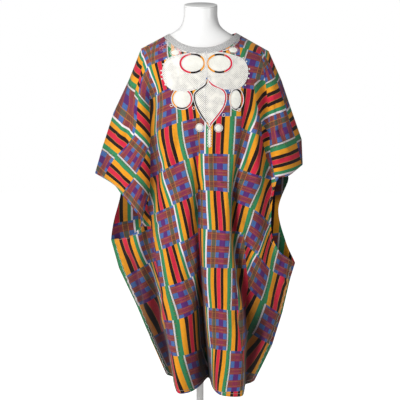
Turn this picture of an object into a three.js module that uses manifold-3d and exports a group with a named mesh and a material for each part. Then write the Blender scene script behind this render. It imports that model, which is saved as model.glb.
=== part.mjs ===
// A wide kaftan with sleeves cut in one with its body and an embroidered neck, worn by a limbless dress form
// on a pole and a round foot.
// Millimetres, +Z up, front faces -Y. The origin is the middle of the foot's underside, on the floor.
import * as THREE from 'three';
import { mergeVertices } from 'three/addons/utils/BufferGeometryUtils.js';
import Module from 'manifold-3d';

// ---- driving sizes -------------------------------------------------------------------------------
const WALL = 2;              // cloth, with its turned edges
const SEAM_GAP = 0.3;        // between pieces that are sewn together
const SEAT_GAP = 0.5;        // between the cloth and the form that carries it
const FORM_CENTRE_X = 2;     // the form's middle plane
const NECK_CORNER_LEFT = { x: -101, z: 1419 };
const NECK_CORNER_RIGHT = { x: 118, z: 1422 };
const FRONT_NECK_DROP = 46;  // how far the neck hole dips at the front
const BACK_NECK_DROP = 14;   // and at the back
const NECK_CURVE = 2.4;      // power of the neck hole's curve
const BAND_SHARE = 0.2;      // depth of the neck band, as a share of the first section down the sleeves
const SHOULDER_ROUND = 70;   // height over which the cloth turns down from the shoulder fold
const DOME_TOP = 1330;       // above this the cloth follows the form
const DOME_END = 1170;       // below this it hangs in its own folds
const DOME_SQUARENESS = 2.6; // power of its section over the form
const RIDGE_ROWS = 1.5;      // lines of EDGES over which a row's rise to the neck fades out

// Heights at which the fold lines are given.
const LEVELS = { shoulder: 1360, chest: 1160, waist: 930, hip: 730, thigh: 500, hem: 250 };

// The panels' side edges from the shoulder down. lx, lz: left edge, rx, rz: right edge, of the front panel;
// bl and br: the back panel's edges where the open cuff parts them. rows: mesh rows down to the next line.
const EDGES = [
  { name: 'shoulder', lx: -193, lz: 1371, rx: 225, rz: 1363, rows: 3 },
  { name: 'upper sleeve', lx: -232, lz: 1274, rx: 269, rz: 1266, rows: 3 },
  { name: 'mid sleeve', lx: -286, lz: 1162, rx: 301, rz: 1175, rows: 3 },
  { name: 'low sleeve', lx: -326, lz: 1044, rx: 338, rz: 1074, rows: 2 },
  { name: 'cuff tip', lx: -351, lz: 960, rx: 343, rz: 989, rows: 1, sharp: true },
  { name: 'cuff underside', lx: -288, lz: 932, rx: 290, rz: 960, bl: [-290, 930], br: [300, 955], rows: 1 },
  { name: 'cuff edge', lx: -263, lz: 907, rx: 250, rz: 945, bl: [-270, 890], br: [299, 928], rows: 2 },
  { name: 'cuff corner', lx: -194, lz: 811, rx: 235, rz: 797, bl: [-291, 802], br: [267, 831], rows: 1 },
  { name: 'cuff end', lx: -233, lz: 758, rx: 258, rz: 714, bl: [-298, 762], br: [292, 724], rows: 1 },
  { name: 'seam top', lx: -301, lz: 734, rx: 323, rz: 654, rows: 2, sharp: true },
  { name: 'hip', lx: -275, lz: 635, rx: 305, rz: 590, rows: 3 },
  { name: 'thigh', lx: -220, lz: 513, rx: 282, rz: 481, rows: 3 },
  { name: 'knee', lx: -167, lz: 379, rx: 247, rz: 360, rows: 4 },
  { name: 'hem', lx: -118, lz: 262, rx: 190, rz: 240, rows: 0 },
];

// One row for each ridge or valley line of the front, from left to right, each as [x, depth] at its LEVELS;
// shoulder is its x alone, as the depth there is the chest's. zone: mesh columns from the zone line before it.
const FRONT_FOLDS = [
  { name: 'left sleeve belly', shoulder: -188, chest: [-245, 52], waist: [-275, 70],
    hip: [-252, 40], thigh: [-190, 26], hem: [-108, 12] },
  { name: 'left sleeve inside', shoulder: -180, chest: [-188, 76], waist: [-195, 96],
    hip: [-212, 72], thigh: [-166, 46], hem: [-98, 20] },
  { name: 'left armpit valley', zone: 7, shoulder: -158, chest: [-152, 46], waist: [-150, 46],
    hip: [-172, 42], thigh: [-138, 34], hem: [-88, 26] },
  { name: 'left body edge', shoulder: -130, chest: [-130, 106], waist: [-130, 102],
    hip: [-150, 88], thigh: [-124, 92], hem: [-86, 110] },
  { name: 'left lobe', zone: 3, shoulder: -101, chest: [-95, 120], waist: [-92, 130],
    hip: [-108, 130], thigh: [-98, 142], hem: [-72, 196] },
  { name: 'left lobe front', shoulder: -64, chest: [-52, 126], waist: [-48, 132],
    hip: [-60, 138], thigh: [-56, 152], hem: [-28, 166] },
  { name: 'middle slope', shoulder: -32, chest: [-20, 126], waist: [-20, 120],
    hip: [-24, 112], thigh: [-14, 108], hem: [4, 90] },
  { name: 'middle valley', shoulder: -2, chest: [0, 126], waist: [-6, 104],
    hip: [-2, 84], thigh: [12, 54], hem: [31, -12] },
  { name: 'middle return', shoulder: 24, chest: [20, 127], waist: [10, 130],
    hip: [10, 130], thigh: [20, 138], hem: [40, 110] },
  { name: 'middle ridge', shoulder: 54, chest: [52, 128], waist: [42, 137],
    hip: [42, 142], thigh: [46, 156], hem: [62, 176] },
  { name: 'right lobe', shoulder: 88, chest: [92, 125], waist: [84, 136],
    hip: [84, 142], thigh: [96, 158], hem: [108, 182] },
  { name: 'right lobe edge', zone: 13, shoulder: 118, chest: [124, 120], waist: [102, 132],
    hip: [102, 140], thigh: [140, 146], hem: [142, 170] },
  { name: 'right lobe valley', shoulder: 134, chest: [142, 111], waist: [106, 84],
    hip: [110, 76], thigh: [148, 66], hem: [150, 100] },
  { name: 'right body edge', shoulder: 150, chest: [162, 104], waist: [130, 110],
    hip: [134, 104], thigh: [158, 62], hem: [154, 52] },
  { name: 'right body', shoulder: 176, chest: [184, 94], waist: [184, 108],
    hip: [192, 98], thigh: [200, 66], hem: [166, 42] },
  { name: 'right armpit valley', zone: 5, shoulder: 200, chest: [212, 46], waist: [226, 48],
    hip: [238, 48], thigh: [240, 44], hem: [174, 34] },
  { name: 'right sleeve inside', shoulder: 212, chest: [244, 76], waist: [256, 92],
    hip: [264, 58], thigh: [262, 30], hem: [180, 24] },
  { name: 'right sleeve belly', shoulder: 219, chest: [278, 50], waist: [304, 62],
    hip: [302, 30], thigh: [275, 14], hem: [186, 12] },
];
const FRONT_LAST_COLUMNS = 6;  // mesh columns from the last zone to the side edge

// The same for the back, from left to right as seen from the front.
const BACK_FOLDS = [
  { name: 'left sleeve back', shoulder: -186, chest: [-246, 44], waist: [-282, 50],
    hip: [-262, 34], thigh: [-192, 24], hem: [-106, 14] },
  { name: 'left back valley', zone: 5, shoulder: -160, chest: [-168, 40], waist: [-176, 34],
    hip: [-196, 40], thigh: [-150, 40], hem: [-92, 34] },
  { name: 'left back ridge', zone: 3, shoulder: -101, chest: [-112, 96], waist: [-118, 100],
    hip: [-122, 108], thigh: [-100, 128], hem: [-64, 170] },
  { name: 'left inner ridge', shoulder: -60, chest: [-62, 104], waist: [-64, 100],
    hip: [-66, 104], thigh: [-54, 112], hem: [-30, 128] },
  { name: 'left inner valley', shoulder: -20, chest: [-26, 103], waist: [-30, 92],
    hip: [-30, 86], thigh: [-22, 70], hem: [-8, 52] },
  { name: 'middle back ridge', shoulder: 20, chest: [24, 104], waist: [22, 110],
    hip: [20, 122], thigh: [26, 146], hem: [34, 190] },
  { name: 'right inner valley', shoulder: 64, chest: [70, 102], waist: [74, 92],
    hip: [78, 86], thigh: [82, 74], hem: [82, 62] },
  { name: 'right back ridge', zone: 9, shoulder: 118, chest: [124, 94], waist: [132, 100],
    hip: [140, 112], thigh: [140, 132], hem: [124, 172] },
  { name: 'right back valley', zone: 3, shoulder: 196, chest: [206, 40], waist: [222, 34],
    hip: [226, 36], thigh: [218, 40], hem: [160, 36] },
  { name: 'right sleeve back', shoulder: 218, chest: [276, 42], waist: [304, 46],
    hip: [300, 28], thigh: [272, 16], hem: [182, 14] },
];
const BACK_LAST_COLUMNS = 5;

// How far the cloth stands from the shoulder plane over the form, at four heights.
const DOME = [
  { z: 1430, front: 72, back: 58 },
  { z: 1374, front: 95, back: 76 },
  { z: 1300, front: 112, back: 94 },
  { z: 1160, front: 124, back: 102 },
];

// The form: half width and depth to the front and the back at each height.
const FORM = [
  { z: 786, half: 112, front: 66, back: 62 },
  { z: 800, half: 130, front: 76, back: 74 },
  { z: 860, half: 136, front: 82, back: 78 },
  { z: 960, half: 124, front: 82, back: 70 },
  { z: 1060, half: 128, front: 92, back: 74 },
  { z: 1180, half: 142, front: 104, back: 84 },
  { z: 1260, half: 164, front: 102, back: 86 },
  { z: 1320, half: 188, front: 98, back: 84 },
  { z: 1350, half: 194, front: 94, back: 80 },
  { z: 1368, half: 192, front: 91, back: 76 },
  { z: 1385, half: 163, front: 84, back: 72 },
  { z: 1400, half: 134, front: 78, back: 68 },
  { z: 1414, half: 107, front: 71, back: 64 },
  { z: 1428, half: 82, front: 65, back: 60 },
  { z: 1444, half: 65, front: 60, back: 57 },
  { z: 1464, half: 57, front: 57, back: 56 },
  { z: 1508, half: 54.5, front: 56, back: 56 },
];
const NECK_TOP = FORM[FORM.length - 1].z;
const FORM_SIDES = 36;
const FORM_SQUARENESS = 2.3; // 2 is an ellipse, more is squarer
const ROOM_ROWS = 8;         // mesh rows of the cloth that lie over the form
const ROOM_HEIGHT = 30;      // how far the room kept free for the cloth reaches out
const ROOM_LAP = 3;          // and past the cloth's top edge
const FACET_SAG = 1.6;       // how far the cloth's facets cut inside its round face
const SHOULDER_BAND = 10;    // below this under the shoulder's end the form needs no narrowing
const CORNER_BAND = 4;       // nor above this under the neck's corner
const NECK_TILT = 0.2;       // slope of the neck's top, low at the front
const NECK_TILT_FROM = 1440; // the tilt grows from here up to the top
const CAP_THICK = 4;
const CAP_RADIUS = 54;
const FOOT_RADIUS = 170;
const FOOT_THICK = 9;
const FOOT_CROWN = 4;        // the foot's rise towards the pole
const POLE_RADIUS = 12.5;
const FOOT_BEVEL = 3;
const COLLAR_RADIUS = 24;
const COLLAR_HEIGHT = 26;
const FLANGE_RADIUS = 42;
const FLANGE_THICK = 10;
const STAND_SIDES = 24;
const FOOT_SIDES = 48;

// Embroidery on the front panel, each motif by its middle and its half sizes; holds: the oval set into it.
const STITCH = 1.5;          // thickness of the embroidery
const STITCH_GAP = 0.6;      // between the embroidery and the cloth
const OUTLINE_GAP = 5;       // bare cloth round an oval that is set into a lobe
const MOTIF_SIDES = 11;
const MOTIFS = [
  { name: 'lobe_left', x: -46, z: 1294, w: 68, h: 51, holds: 'oval_left' },
  { name: 'lobe_right', x: 97, z: 1294, w: 64, h: 51, holds: 'oval_right' },
  { name: 'oval_left', x: -20, z: 1329, w: 35, h: 25 },
  { name: 'oval_right', x: 60, z: 1329, w: 36, h: 25 },
  { name: 'small_oval_left', x: -79, z: 1361, w: 15, h: 10 },
  { name: 'small_oval_right', x: 107, z: 1371, w: 15, h: 10 },
  { name: 'disc_left', x: -57, z: 1211, w: 28, h: 28 },
  { name: 'disc_right', x: 116, z: 1210, w: 20, h: 28 },
  { name: 'ball_left', x: 1, z: 1120, w: 13, h: 13 },
  { name: 'ball_right', x: 61, z: 1118, w: 13, h: 13 },
];
const DROP = { x: 31, top: 1276, wide: 1222, tip: 1124, half: 47, end: 3, taper: 1.4, steps: 10 };
const STEM = { x: 30, top: 1110, bottom: 1050, half: 7 };
const LAYER_ROWS = 11;       // mesh rows of the front that carry embroidery
const LAYER_LAP = 2;         // mesh columns of that layer beyond the neck's corners
const PRISM_DEPTH = 200;     // length of the prisms that cut the motifs out
const MERGE = 1e-3;          // points closer than this are one

// ---- small helpers -------------------------------------------------------------------------------
const clamp = (t, a, b) => Math.min(b, Math.max(a, t));
const mix = (a, b, t) => a + (b - a) * t;
const smooth = (t) => {
  const c = clamp(t, 0, 1);
  return c * c * (3 - 2 * c);
};

// Cubic from a to b with the given slopes at its ends; q runs from 0 to 1.
function cubic(a, b, slopeA, slopeB, q) {
  const q2 = q * q;
  const q3 = q2 * q;
  return (2 * q3 - 3 * q2 + 1) * a + (q3 - 2 * q2 + q) * slopeA
    + (3 * q2 - 2 * q3) * b + (q3 - q2) * slopeB;
}

// Cubic through points (t, value) with falling or rising t; its slopes are the mean of the two sides'.
function curveThrough(ts, values, t) {
  const up = ts[ts.length - 1] > ts[0];
  let k = 0;
  while (k < ts.length - 2 && (up ? t > ts[k + 1] : t < ts[k + 1])) k += 1;
  const slope = (i) => {
    const a = Math.max(0, i - 1);
    const b = Math.min(ts.length - 1, i + 1);
    return (values[b] - values[a]) / (ts[b] - ts[a]);
  };
  const step = ts[k + 1] - ts[k];
  const q = clamp((t - ts[k]) / step, 0, 1);
  return cubic(values[k], values[k + 1], step * slope(k), step * slope(k + 1), q);
}

// Straight between rows of a table, by its column z.
function tableAt(table, column, z) {
  const rising = table[1].z > table[0].z;
  let k = 0;
  while (k < table.length - 2 && (rising ? z > table[k + 1].z : z < table[k + 1].z)) k += 1;
  const q = clamp((z - table[k].z) / (table[k + 1].z - table[k].z), 0, 1);
  return mix(table[k][column], table[k + 1][column], q);
}

// A closed wall from two grids of points, outer and inner, rows x columns. Faces are turned outward.
function wallGeometry(outer, inner) {
  const rows = outer.length;
  const cols = outer[0].length;
  const positions = [];
  for (const grid of [outer, inner]) {
    for (const row of grid) for (const p of row) positions.push(p.x, p.y, p.z);
  }
  const at = (side, r, c) => side * rows * cols + r * cols + c;
  const faces = [];
  const quad = (a, b, c, d) => faces.push(a, b, c, a, c, d);
  for (let r = 0; r + 1 < rows; r += 1) {
    for (let c = 0; c + 1 < cols; c += 1) {
      quad(at(0, r, c), at(0, r + 1, c), at(0, r + 1, c + 1), at(0, r, c + 1));
      quad(at(1, r, c), at(1, r, c + 1), at(1, r + 1, c + 1), at(1, r + 1, c));
    }
  }
  for (let r = 0; r + 1 < rows; r += 1) {
    quad(at(0, r, 0), at(1, r, 0), at(1, r + 1, 0), at(0, r + 1, 0));
    quad(at(0, r, cols - 1), at(0, r + 1, cols - 1), at(1, r + 1, cols - 1), at(1, r, cols - 1));
  }
  for (let c = 0; c + 1 < cols; c += 1) {
    quad(at(0, 0, c), at(0, 0, c + 1), at(1, 0, c + 1), at(1, 0, c));
    quad(at(0, rows - 1, c), at(1, rows - 1, c), at(1, rows - 1, c + 1), at(0, rows - 1, c + 1));
  }
  return facingOut(positions, faces);
}

// Indexed geometry, with its faces reversed if they enclose a negative volume.
function facingOut(positions, faces) {
  let volume = 0;
  const p = (i) => new THREE.Vector3().fromArray(positions, 3 * i);
  for (let i = 0; i < faces.length; i += 3) {
    volume += p(faces[i]).dot(p(faces[i + 1]).cross(p(faces[i + 2])));
  }
  if (volume < 0) faces.reverse();
  const geometry = new THREE.BufferGeometry();
  geometry.setAttribute('position', new THREE.Float32BufferAttribute(positions, 3));
  geometry.setIndex(faces);
  geometry.computeVertexNormals();
  return geometry;
}

// Unit normals of a grid of points, on the side that `outward` names.
function gridNormals(grid, outward) {
  const rows = grid.length;
  const cols = grid[0].length;
  return grid.map((row, r) => row.map((_, c) => {
    const down = grid[Math.min(rows - 1, r + 1)][c].clone().sub(grid[Math.max(0, r - 1)][c]);
    const across = row[Math.min(cols - 1, c + 1)].clone().sub(row[Math.max(0, c - 1)]);
    const n = across.cross(down).normalize();
    return n.dot(outward(grid[r][c])) < 0 ? n.negate() : n;
  }));
}

// ---- the cloth's form ----------------------------------------------------------------------------
const front = {
  sign: -1, folds: FRONT_FOLDS, last: FRONT_LAST_COLUMNS, column: 'front', neckDrop: FRONT_NECK_DROP,
};
const back = {
  sign: 1, folds: BACK_FOLDS, last: BACK_LAST_COLUMNS, column: 'back', neckDrop: BACK_NECK_DROP,
};
const ENVELOPE = EDGES.filter((e) => !e.name.startsWith('cuff ') || e.name === 'cuff tip');

// The widest outline at a height, where the shoulder fold or the side seam runs.
function outlineX(side, z) {
  const zs = ENVELOPE.map((e) => (side < 0 ? e.lz : e.rz));
  const xs = ENVELOPE.map((e) => (side < 0 ? e.lx : e.rx));
  let k = 0;
  while (k < zs.length - 2 && z < zs[k + 1]) k += 1;
  return mix(xs[k], xs[k + 1], clamp((z - zs[k]) / (zs[k + 1] - zs[k]), 0, 1));
}

// A point of a panel's side edge; v counts down the EDGES table. Curved, except at its sharp corners.
function edgePoint(panel, side, v) {
  const value = (e) => {
    if (side < 0) return panel === back && e.bl ? e.bl : [e.lx, e.lz];
    return panel === back && e.br ? e.br : [e.rx, e.rz];
  };
  const k = clamp(Math.floor(v), 0, EDGES.length - 2);
  const q = v - k;
  const a = value(EDGES[k]);
  const b = value(EDGES[k + 1]);
  const straightA = EDGES[k].sharp || k === 0;
  const straightB = EDGES[k + 1].sharp || k + 2 >= EDGES.length;
  return [0, 1].map((i) => {
    const slopeA = straightA ? b[i] - a[i] : (b[i] - value(EDGES[k - 1])[i]) / 2;
    const slopeB = straightB ? b[i] - a[i] : (value(EDGES[k + 2])[i] - a[i]) / 2;
    return cubic(a[i], b[i], slopeA, slopeB, q);
  });
}

// Height of the shoulder ridge above x. Over the neck hole it runs on up the form's neck.
function ridgeZ(x) {
  const corner = x < 0 ? NECK_CORNER_LEFT : NECK_CORNER_RIGHT;
  const end = x < 0 ? { x: EDGES[0].lx, z: EDGES[0].lz } : { x: EDGES[0].rx, z: EDGES[0].rz };
  const slope = (corner.z - end.z) / (Math.abs(end.x) - Math.abs(corner.x));
  return Math.max(end.z, corner.z + slope * (Math.abs(corner.x) - Math.abs(x)));
}

// The panel's top edge: the shoulder ridge, with the neck hole cut out of it.
function topZ(panel, x) {
  if (x <= NECK_CORNER_LEFT.x || x >= NECK_CORNER_RIGHT.x) return ridgeZ(x);
  const t = (x - NECK_CORNER_LEFT.x) / (NECK_CORNER_RIGHT.x - NECK_CORNER_LEFT.x);
  const u = Math.abs(2 * t - 1);
  return mix(NECK_CORNER_LEFT.z, NECK_CORNER_RIGHT.z, t) - panel.neckDrop * (1 - u ** NECK_CURVE);
}

// Depth of the cloth where it lies over the form: an oval section that closes at the outline and the ridge.
function domeDepth(panel, x, z) {
  const left = outlineX(-1, z);
  const right = outlineX(1, z);
  const xi = clamp(Math.abs((x - (left + right) / 2) / ((right - left) / 2)), 0, 1);
  const turn = clamp((ridgeZ(x) - z) / SHOULDER_ROUND, 0, 1);
  const across = Math.sqrt(1 - xi ** DOME_SQUARENESS);
  return tableAt(DOME, panel.column, z) * across * Math.sqrt(1 - (1 - turn) ** 2);
}

// Corner cutting: each pass replaces a corner by two points on its legs, nearer to the line's own ends.
function cutCorners(points, share) {
  const last = points.length - 1;
  const out = [points[0]];
  for (let i = 0; i < last; i += 1) {
    const a = points[i];
    const b = points[i + 1];
    out.push(a.clone().lerp(b, i === 0 ? share / 2 : share));
    out.push(a.clone().lerp(b, 1 - (i + 1 === last ? share / 2 : share)));
  }
  out.push(points[last]);
  return out;
}
const CUT_SHARES = [0.2, 0.25, 0.25];

const EDGE_OFFSET = WALL + SEAM_GAP / 2;  // the outer face's depth where front and back meet

// A fold line's x and depth at a height.
const LEVEL_NAMES = Object.keys(LEVELS);
const LEVEL_HEIGHTS = Object.values(LEVELS);
function foldX(fold, z) {
  const xs = LEVEL_NAMES.map((name) => (name === 'shoulder' ? fold.shoulder : fold[name][0]));
  return curveThrough(LEVEL_HEIGHTS, xs, z);
}
function foldDepth(fold, z) {
  const depths = LEVEL_NAMES.map((name) => (name === 'shoulder' ? fold.chest[1] : fold[name][1]));
  return curveThrough(LEVEL_HEIGHTS, depths, z);
}

// One row of a panel: a smooth line across its fold lines, cut at its side edges, as columns of points.
function panelRow(panel, v) {
  const [lx, lz] = edgePoint(panel, -1, v);
  const [rx, rz] = edgePoint(panel, 1, v);
  const liftFade = 1 - smooth(v / RIDGE_ROWS);
  const baseZ = (x) => mix(lz, rz, clamp((x - lx) / (rx - lx), 0, 1));
  const lift = (x) => {
    const shoulderZ = mix(EDGES[0].lz, EDGES[0].rz, clamp((x - lx) / (rx - lx), 0, 1));
    return (topZ(panel, clamp(x, EDGES[0].lx, EDGES[0].rx)) - shoulderZ) * liftFade;
  };
  const end = (side, z) => new THREE.Vector3(outlineX(side, z), panel.sign * EDGE_OFFSET, z);
  const points = [end(-1, lz)];
  for (const fold of panel.folds) {
    let z = baseZ(fold.waist[0]);
    let x = 0;
    for (let pass = 0; pass < 3; pass += 1) {
      x = foldX(fold, z);
      z = baseZ(x);
    }
    points.push(new THREE.Vector3(x, panel.sign * (EDGE_OFFSET + foldDepth(fold, z)), z));
  }
  points.push(end(1, rz));
  const line = CUT_SHARES.reduce(cutCorners, points);
  for (const p of line) {
    p.z = baseZ(p.x) + lift(p.x);
    const hang = smooth((DOME_TOP - p.z) / (DOME_TOP - DOME_END));
    p.y = mix(panel.sign * (EDGE_OFFSET + domeDepth(panel, p.x, p.z)), p.y, hang);
  }
  return columnsOf(panel, line, lx, rx, smooth(v / RIDGE_ROWS));
}

// Points at equal steps within each zone of a row's line, from its left edge to its right one. Near the top
// the zones end at the folds' own x, so that two start at the neck's corners; free (0 to 1) lets them go.
function columnsOf(panel, line, lx, rx, free) {
  const n = line.length;
  const corners = panel.folds.length + 1;
  const length = [0];
  for (let i = 1; i < n; i += 1) length.push(length[i - 1] + line[i].distanceTo(line[i - 1]));
  const crossing = (x, fromLeft) => {
    for (let k = 0; k + 1 < n; k += 1) {
      const i = fromLeft ? k : n - 2 - k;
      const a = line[i];
      const b = line[i + 1];
      if ((a.x - x) * (b.x - x) <= 0 && a.x !== b.x) {
        return mix(length[i], length[i + 1], (x - a.x) / (b.x - a.x));
      }
    }
    return fromLeft ? 0 : length[n - 1];
  };
  const stops = [{ s: Math.max(0, crossing(lx, true)), columns: 0 }];
  panel.folds.forEach((fold, i) => {
    if (!fold.zone) return;
    const onLine = length[Math.round(((i + 1) / corners) * (n - 1))];
    const s = free < 1 ? mix(crossing(fold.shoulder, true), onLine, free) : onLine;
    stops.push({ s, columns: fold.zone });
  });
  stops.push({ s: crossing(rx, false), columns: panel.last });
  const pointAt = (s) => {
    let i = 0;
    while (i < n - 2 && length[i + 1] < s) i += 1;
    const share = (s - length[i]) / (length[i + 1] - length[i]);
    return line[i].clone().lerp(line[i + 1], clamp(share, 0, 1));
  };
  const out = [pointAt(stops[0].s)];
  for (let k = 1; k < stops.length; k += 1) {
    const { columns } = stops[k];
    for (let c = 1; c <= columns; c += 1) out.push(pointAt(mix(stops[k - 1].s, stops[k].s, c / columns)));
  }
  return out;
}

// The whole outer face of a panel, row by row.
function panelGrid(panel) {
  const grid = [];
  EDGES.forEach((edge, k) => {
    const first = k === 0 ? BAND_SHARE : 0;
    if (k === 0) grid.push(panelRow(panel, 0));
    for (let r = 0; r < edge.rows; r += 1) {
      grid.push(panelRow(panel, k + mix(first, 1, r / edge.rows)));
    }
  });
  grid.push(panelRow(panel, EDGES.length - 1));
  return grid;
}

// ---- materials -----------------------------------------------------------------------------------
const material = (name, color, roughness, metalness = 0) => Object.assign(
  new THREE.MeshStandardMaterial({ color, roughness, metalness }), { name });
const printedCotton = () => material('printed cotton', '#8a4a3c', 0.85);
const silverThread = () => material('silver thread', '#e6e4dc', 0.55);
const whiteGloss = () => material('white gloss', '#f4f4f2', 0.3);
const whiteMetal = () => material('white painted metal', '#ececea', 0.35, 0.2);

const kaftan = new THREE.Group();
function add(name, geometry, surface) {
  const mesh = new THREE.Mesh(geometry, surface);
  mesh.name = name;
  kaftan.add(mesh);
  return mesh;
}

// ---- front and back ------------------------------------------------------------------------------
const frontFace = panelGrid(front);
const backFace = panelGrid(back);
function addPanel(name, grid, sign) {
  const normals = gridNormals(grid, () => new THREE.Vector3(0, sign, 0));
  const inner = grid.map((row, r) => row.map((p, c) => p.clone().addScaledVector(normals[r][c], -WALL)));
  add(name, wallGeometry(grid, inner), printedCotton());
}
addPanel('front_panel', frontFace, -1);
addPanel('back_panel', backFace, 1);

// ---- neck band and embroidery --------------------------------------------------------------------
// What lies on a panel is a part of its own face, moved out by a gap and a thickness.
function layerOn(face, sign, rows, firstColumn, lastColumn) {
  const normals = gridNormals(face, () => new THREE.Vector3(0, sign, 0));
  const moved = (out) => face.slice(0, rows + 1).map((row, r) => row.slice(firstColumn, lastColumn + 1)
    .map((p, c) => p.clone().addScaledVector(normals[r][firstColumn + c], out)));
  return wallGeometry(moved(STITCH_GAP + STITCH), moved(STITCH_GAP));
}

// Columns of a panel's mesh that run out of the neck's corners.
function neckColumns(panel) {
  const ends = [];
  let column = 0;
  for (const fold of panel.folds) {
    column += fold.zone ?? 0;
    if ([NECK_CORNER_LEFT.x, NECK_CORNER_RIGHT.x].includes(fold.shoulder)) ends.push(column);
  }
  return ends;
}

// The neck band takes the first row of cells under the neck hole, and one column more over each shoulder.
function addNeckBand(name, panel, face) {
  const [left, right] = neckColumns(panel);
  add(name, layerOn(face, panel.sign, 1, left - 1, right + 1), silverThread());
}
addNeckBand('neck_band_front', front, frontFace);
addNeckBand('neck_band_back', back, backFace);

// A motif is cut out of one layer on the front by an upright prism of its outline.
const wasm = await Module();
wasm.setup();
function solid(geometry) {
  const bare = new THREE.BufferGeometry();
  bare.setAttribute('position', geometry.getAttribute('position').clone());
  if (geometry.index) bare.setIndex(geometry.index.clone());
  const merged = mergeVertices(bare, MERGE);
  return new wasm.Manifold(new wasm.Mesh({
    numProp: 3,
    vertProperties: merged.getAttribute('position').array,
    triVerts: Uint32Array.from(merged.index.array),
  }));
}
function geometryOf(shape) {
  const mesh = shape.getMesh();
  const geometry = new THREE.BufferGeometry();
  geometry.setAttribute('position', new THREE.Float32BufferAttribute(mesh.vertProperties, mesh.numProp));
  geometry.setIndex([...mesh.triVerts]);
  geometry.computeVertexNormals();
  return geometry;
}
function prism(outline) {
  const options = { depth: PRISM_DEPTH, bevelEnabled: false, curveSegments: MOTIF_SIDES };
  return solid(new THREE.ExtrudeGeometry(outline, options).rotateX(Math.PI / 2));
}
const oval = ({ x, z, w, h }, grow = 0) => (
  new THREE.Shape().absellipse(x, z, w + grow, h + grow, 0, 2 * Math.PI));

// The long drop: pointed at both ends, its half width swelling to its widest place.
function dropOutline() {
  const half = (z) => {
    if (z > DROP.wide) return mix(DROP.end, DROP.half, smooth((DROP.top - z) / (DROP.top - DROP.wide)));
    return mix(DROP.half, DROP.end, ((DROP.wide - z) / (DROP.wide - DROP.tip)) ** DROP.taper);
  };
  const heights = Array.from({ length: DROP.steps + 1 }, (_, i) => mix(DROP.top, DROP.tip, i / DROP.steps));
  const right = heights.map((z) => new THREE.Vector2(DROP.x + half(z), z));
  const left = heights.map((z) => new THREE.Vector2(DROP.x - half(z), z)).reverse();
  return new THREE.Shape([...right, ...left]);
}
function stemOutline() {
  const { x, half, top, bottom } = STEM;
  return new THREE.Shape([[x - half, top], [x - half, bottom], [x + half, bottom], [x + half, top]]
    .map(([u, w]) => new THREE.Vector2(u, w)));
}
const [neckLeft, neckRight] = neckColumns(front);
const layer = solid(
  layerOn(frontFace, front.sign, LAYER_ROWS, neckLeft - LAYER_LAP, neckRight + LAYER_LAP));
function addMotif(name, outline, cutOut) {
  let piece = layer.intersect(prism(outline));
  if (cutOut) piece = piece.subtract(prism(cutOut));
  add(`embroidery_${name}`, geometryOf(piece), silverThread());
}
for (const motif of MOTIFS) {
  const inside = MOTIFS.find((other) => other.name === motif.holds);
  addMotif(motif.name, oval(motif), inside && oval(inside, OUTLINE_GAP));
}
addMotif('drop', dropOutline());
addMotif('stem', stemOutline());

// ---- the dress form ------------------------------------------------------------------------------
// Its shoulders follow the cloth's ridge from below, and it keeps the seat gap to the cloth all over.
function ridgeReach(z) {
  const slope = (NECK_CORNER_LEFT.z - EDGES[0].lz) / (NECK_CORNER_LEFT.x - EDGES[0].lx);
  const under = WALL * Math.hypot(1, slope) + SEAT_GAP;
  return FORM_CENTRE_X - NECK_CORNER_LEFT.x + (NECK_CORNER_LEFT.z - under - z) / slope;
}
// Depth of the cloth's faceted face over the shoulder: flat from the ridge down to its first row.
function roofDepth(panel, x, z) {
  const below = ridgeZ(x) - z;
  const rowDrop = BAND_SHARE * (EDGES[0].lz - EDGES[1].lz);
  if (below > rowDrop) return domeDepth(panel, x, z) - FACET_SAG;
  return (domeDepth(panel, x, ridgeZ(x) - rowDrop) - FACET_SAG) * Math.max(0, below / rowDrop);
}
function formRing({ z, half, front: forward, back: rearward }) {
  const onShoulder = z > EDGES[0].lz - SHOULDER_BAND && z < NECK_CORNER_LEFT.z - CORNER_BAND;
  const reach = onShoulder ? Math.min(half, ridgeReach(z)) : half;
  const tilt = NECK_TILT * smooth((z - NECK_TILT_FROM) / (NECK_TOP - NECK_TILT_FROM));
  return Array.from({ length: FORM_SIDES }, (_, i) => {
    const a = (2 * Math.PI * i) / FORM_SIDES;
    const round = (s) => Math.sign(s) * Math.abs(s) ** (2 / FORM_SQUARENESS);
    const x = FORM_CENTRE_X + reach * round(Math.cos(a));
    let y = round(Math.sin(a));
    y *= y < 0 ? forward : rearward;
    if (z > DOME_END && z < NECK_CORNER_LEFT.z) {
      const cloth = EDGE_OFFSET + roofDepth(y < 0 ? front : back, x, z);
      const most = Math.max(0, cloth - 1.5 * WALL - SEAT_GAP);
      y = clamp(y, -most, most);
    }
    return new THREE.Vector3(x, y, z + tilt * y);
  });
}
function formGeometry() {
  const rings = FORM.map(formRing);
  const positions = rings.flat().flatMap((p) => p.toArray());
  const low = positions.length / 3;
  positions.push(FORM_CENTRE_X, 0, FORM[0].z, FORM_CENTRE_X, 0, NECK_TOP);
  const faces = [];
  for (let i = 0; i < FORM_SIDES; i += 1) {
    const j = (i + 1) % FORM_SIDES;
    for (let r = 0; r + 1 < rings.length; r += 1) {
      const [a, b] = [r * FORM_SIDES + i, r * FORM_SIDES + j];
      faces.push(a, b, b + FORM_SIDES, a, b + FORM_SIDES, a + FORM_SIDES);
    }
    faces.push(low, j, i);
    const last = (rings.length - 1) * FORM_SIDES;
    faces.push(low + 1, last + i, last + j);
  }
  return facingOut(positions, faces);
}

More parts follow.
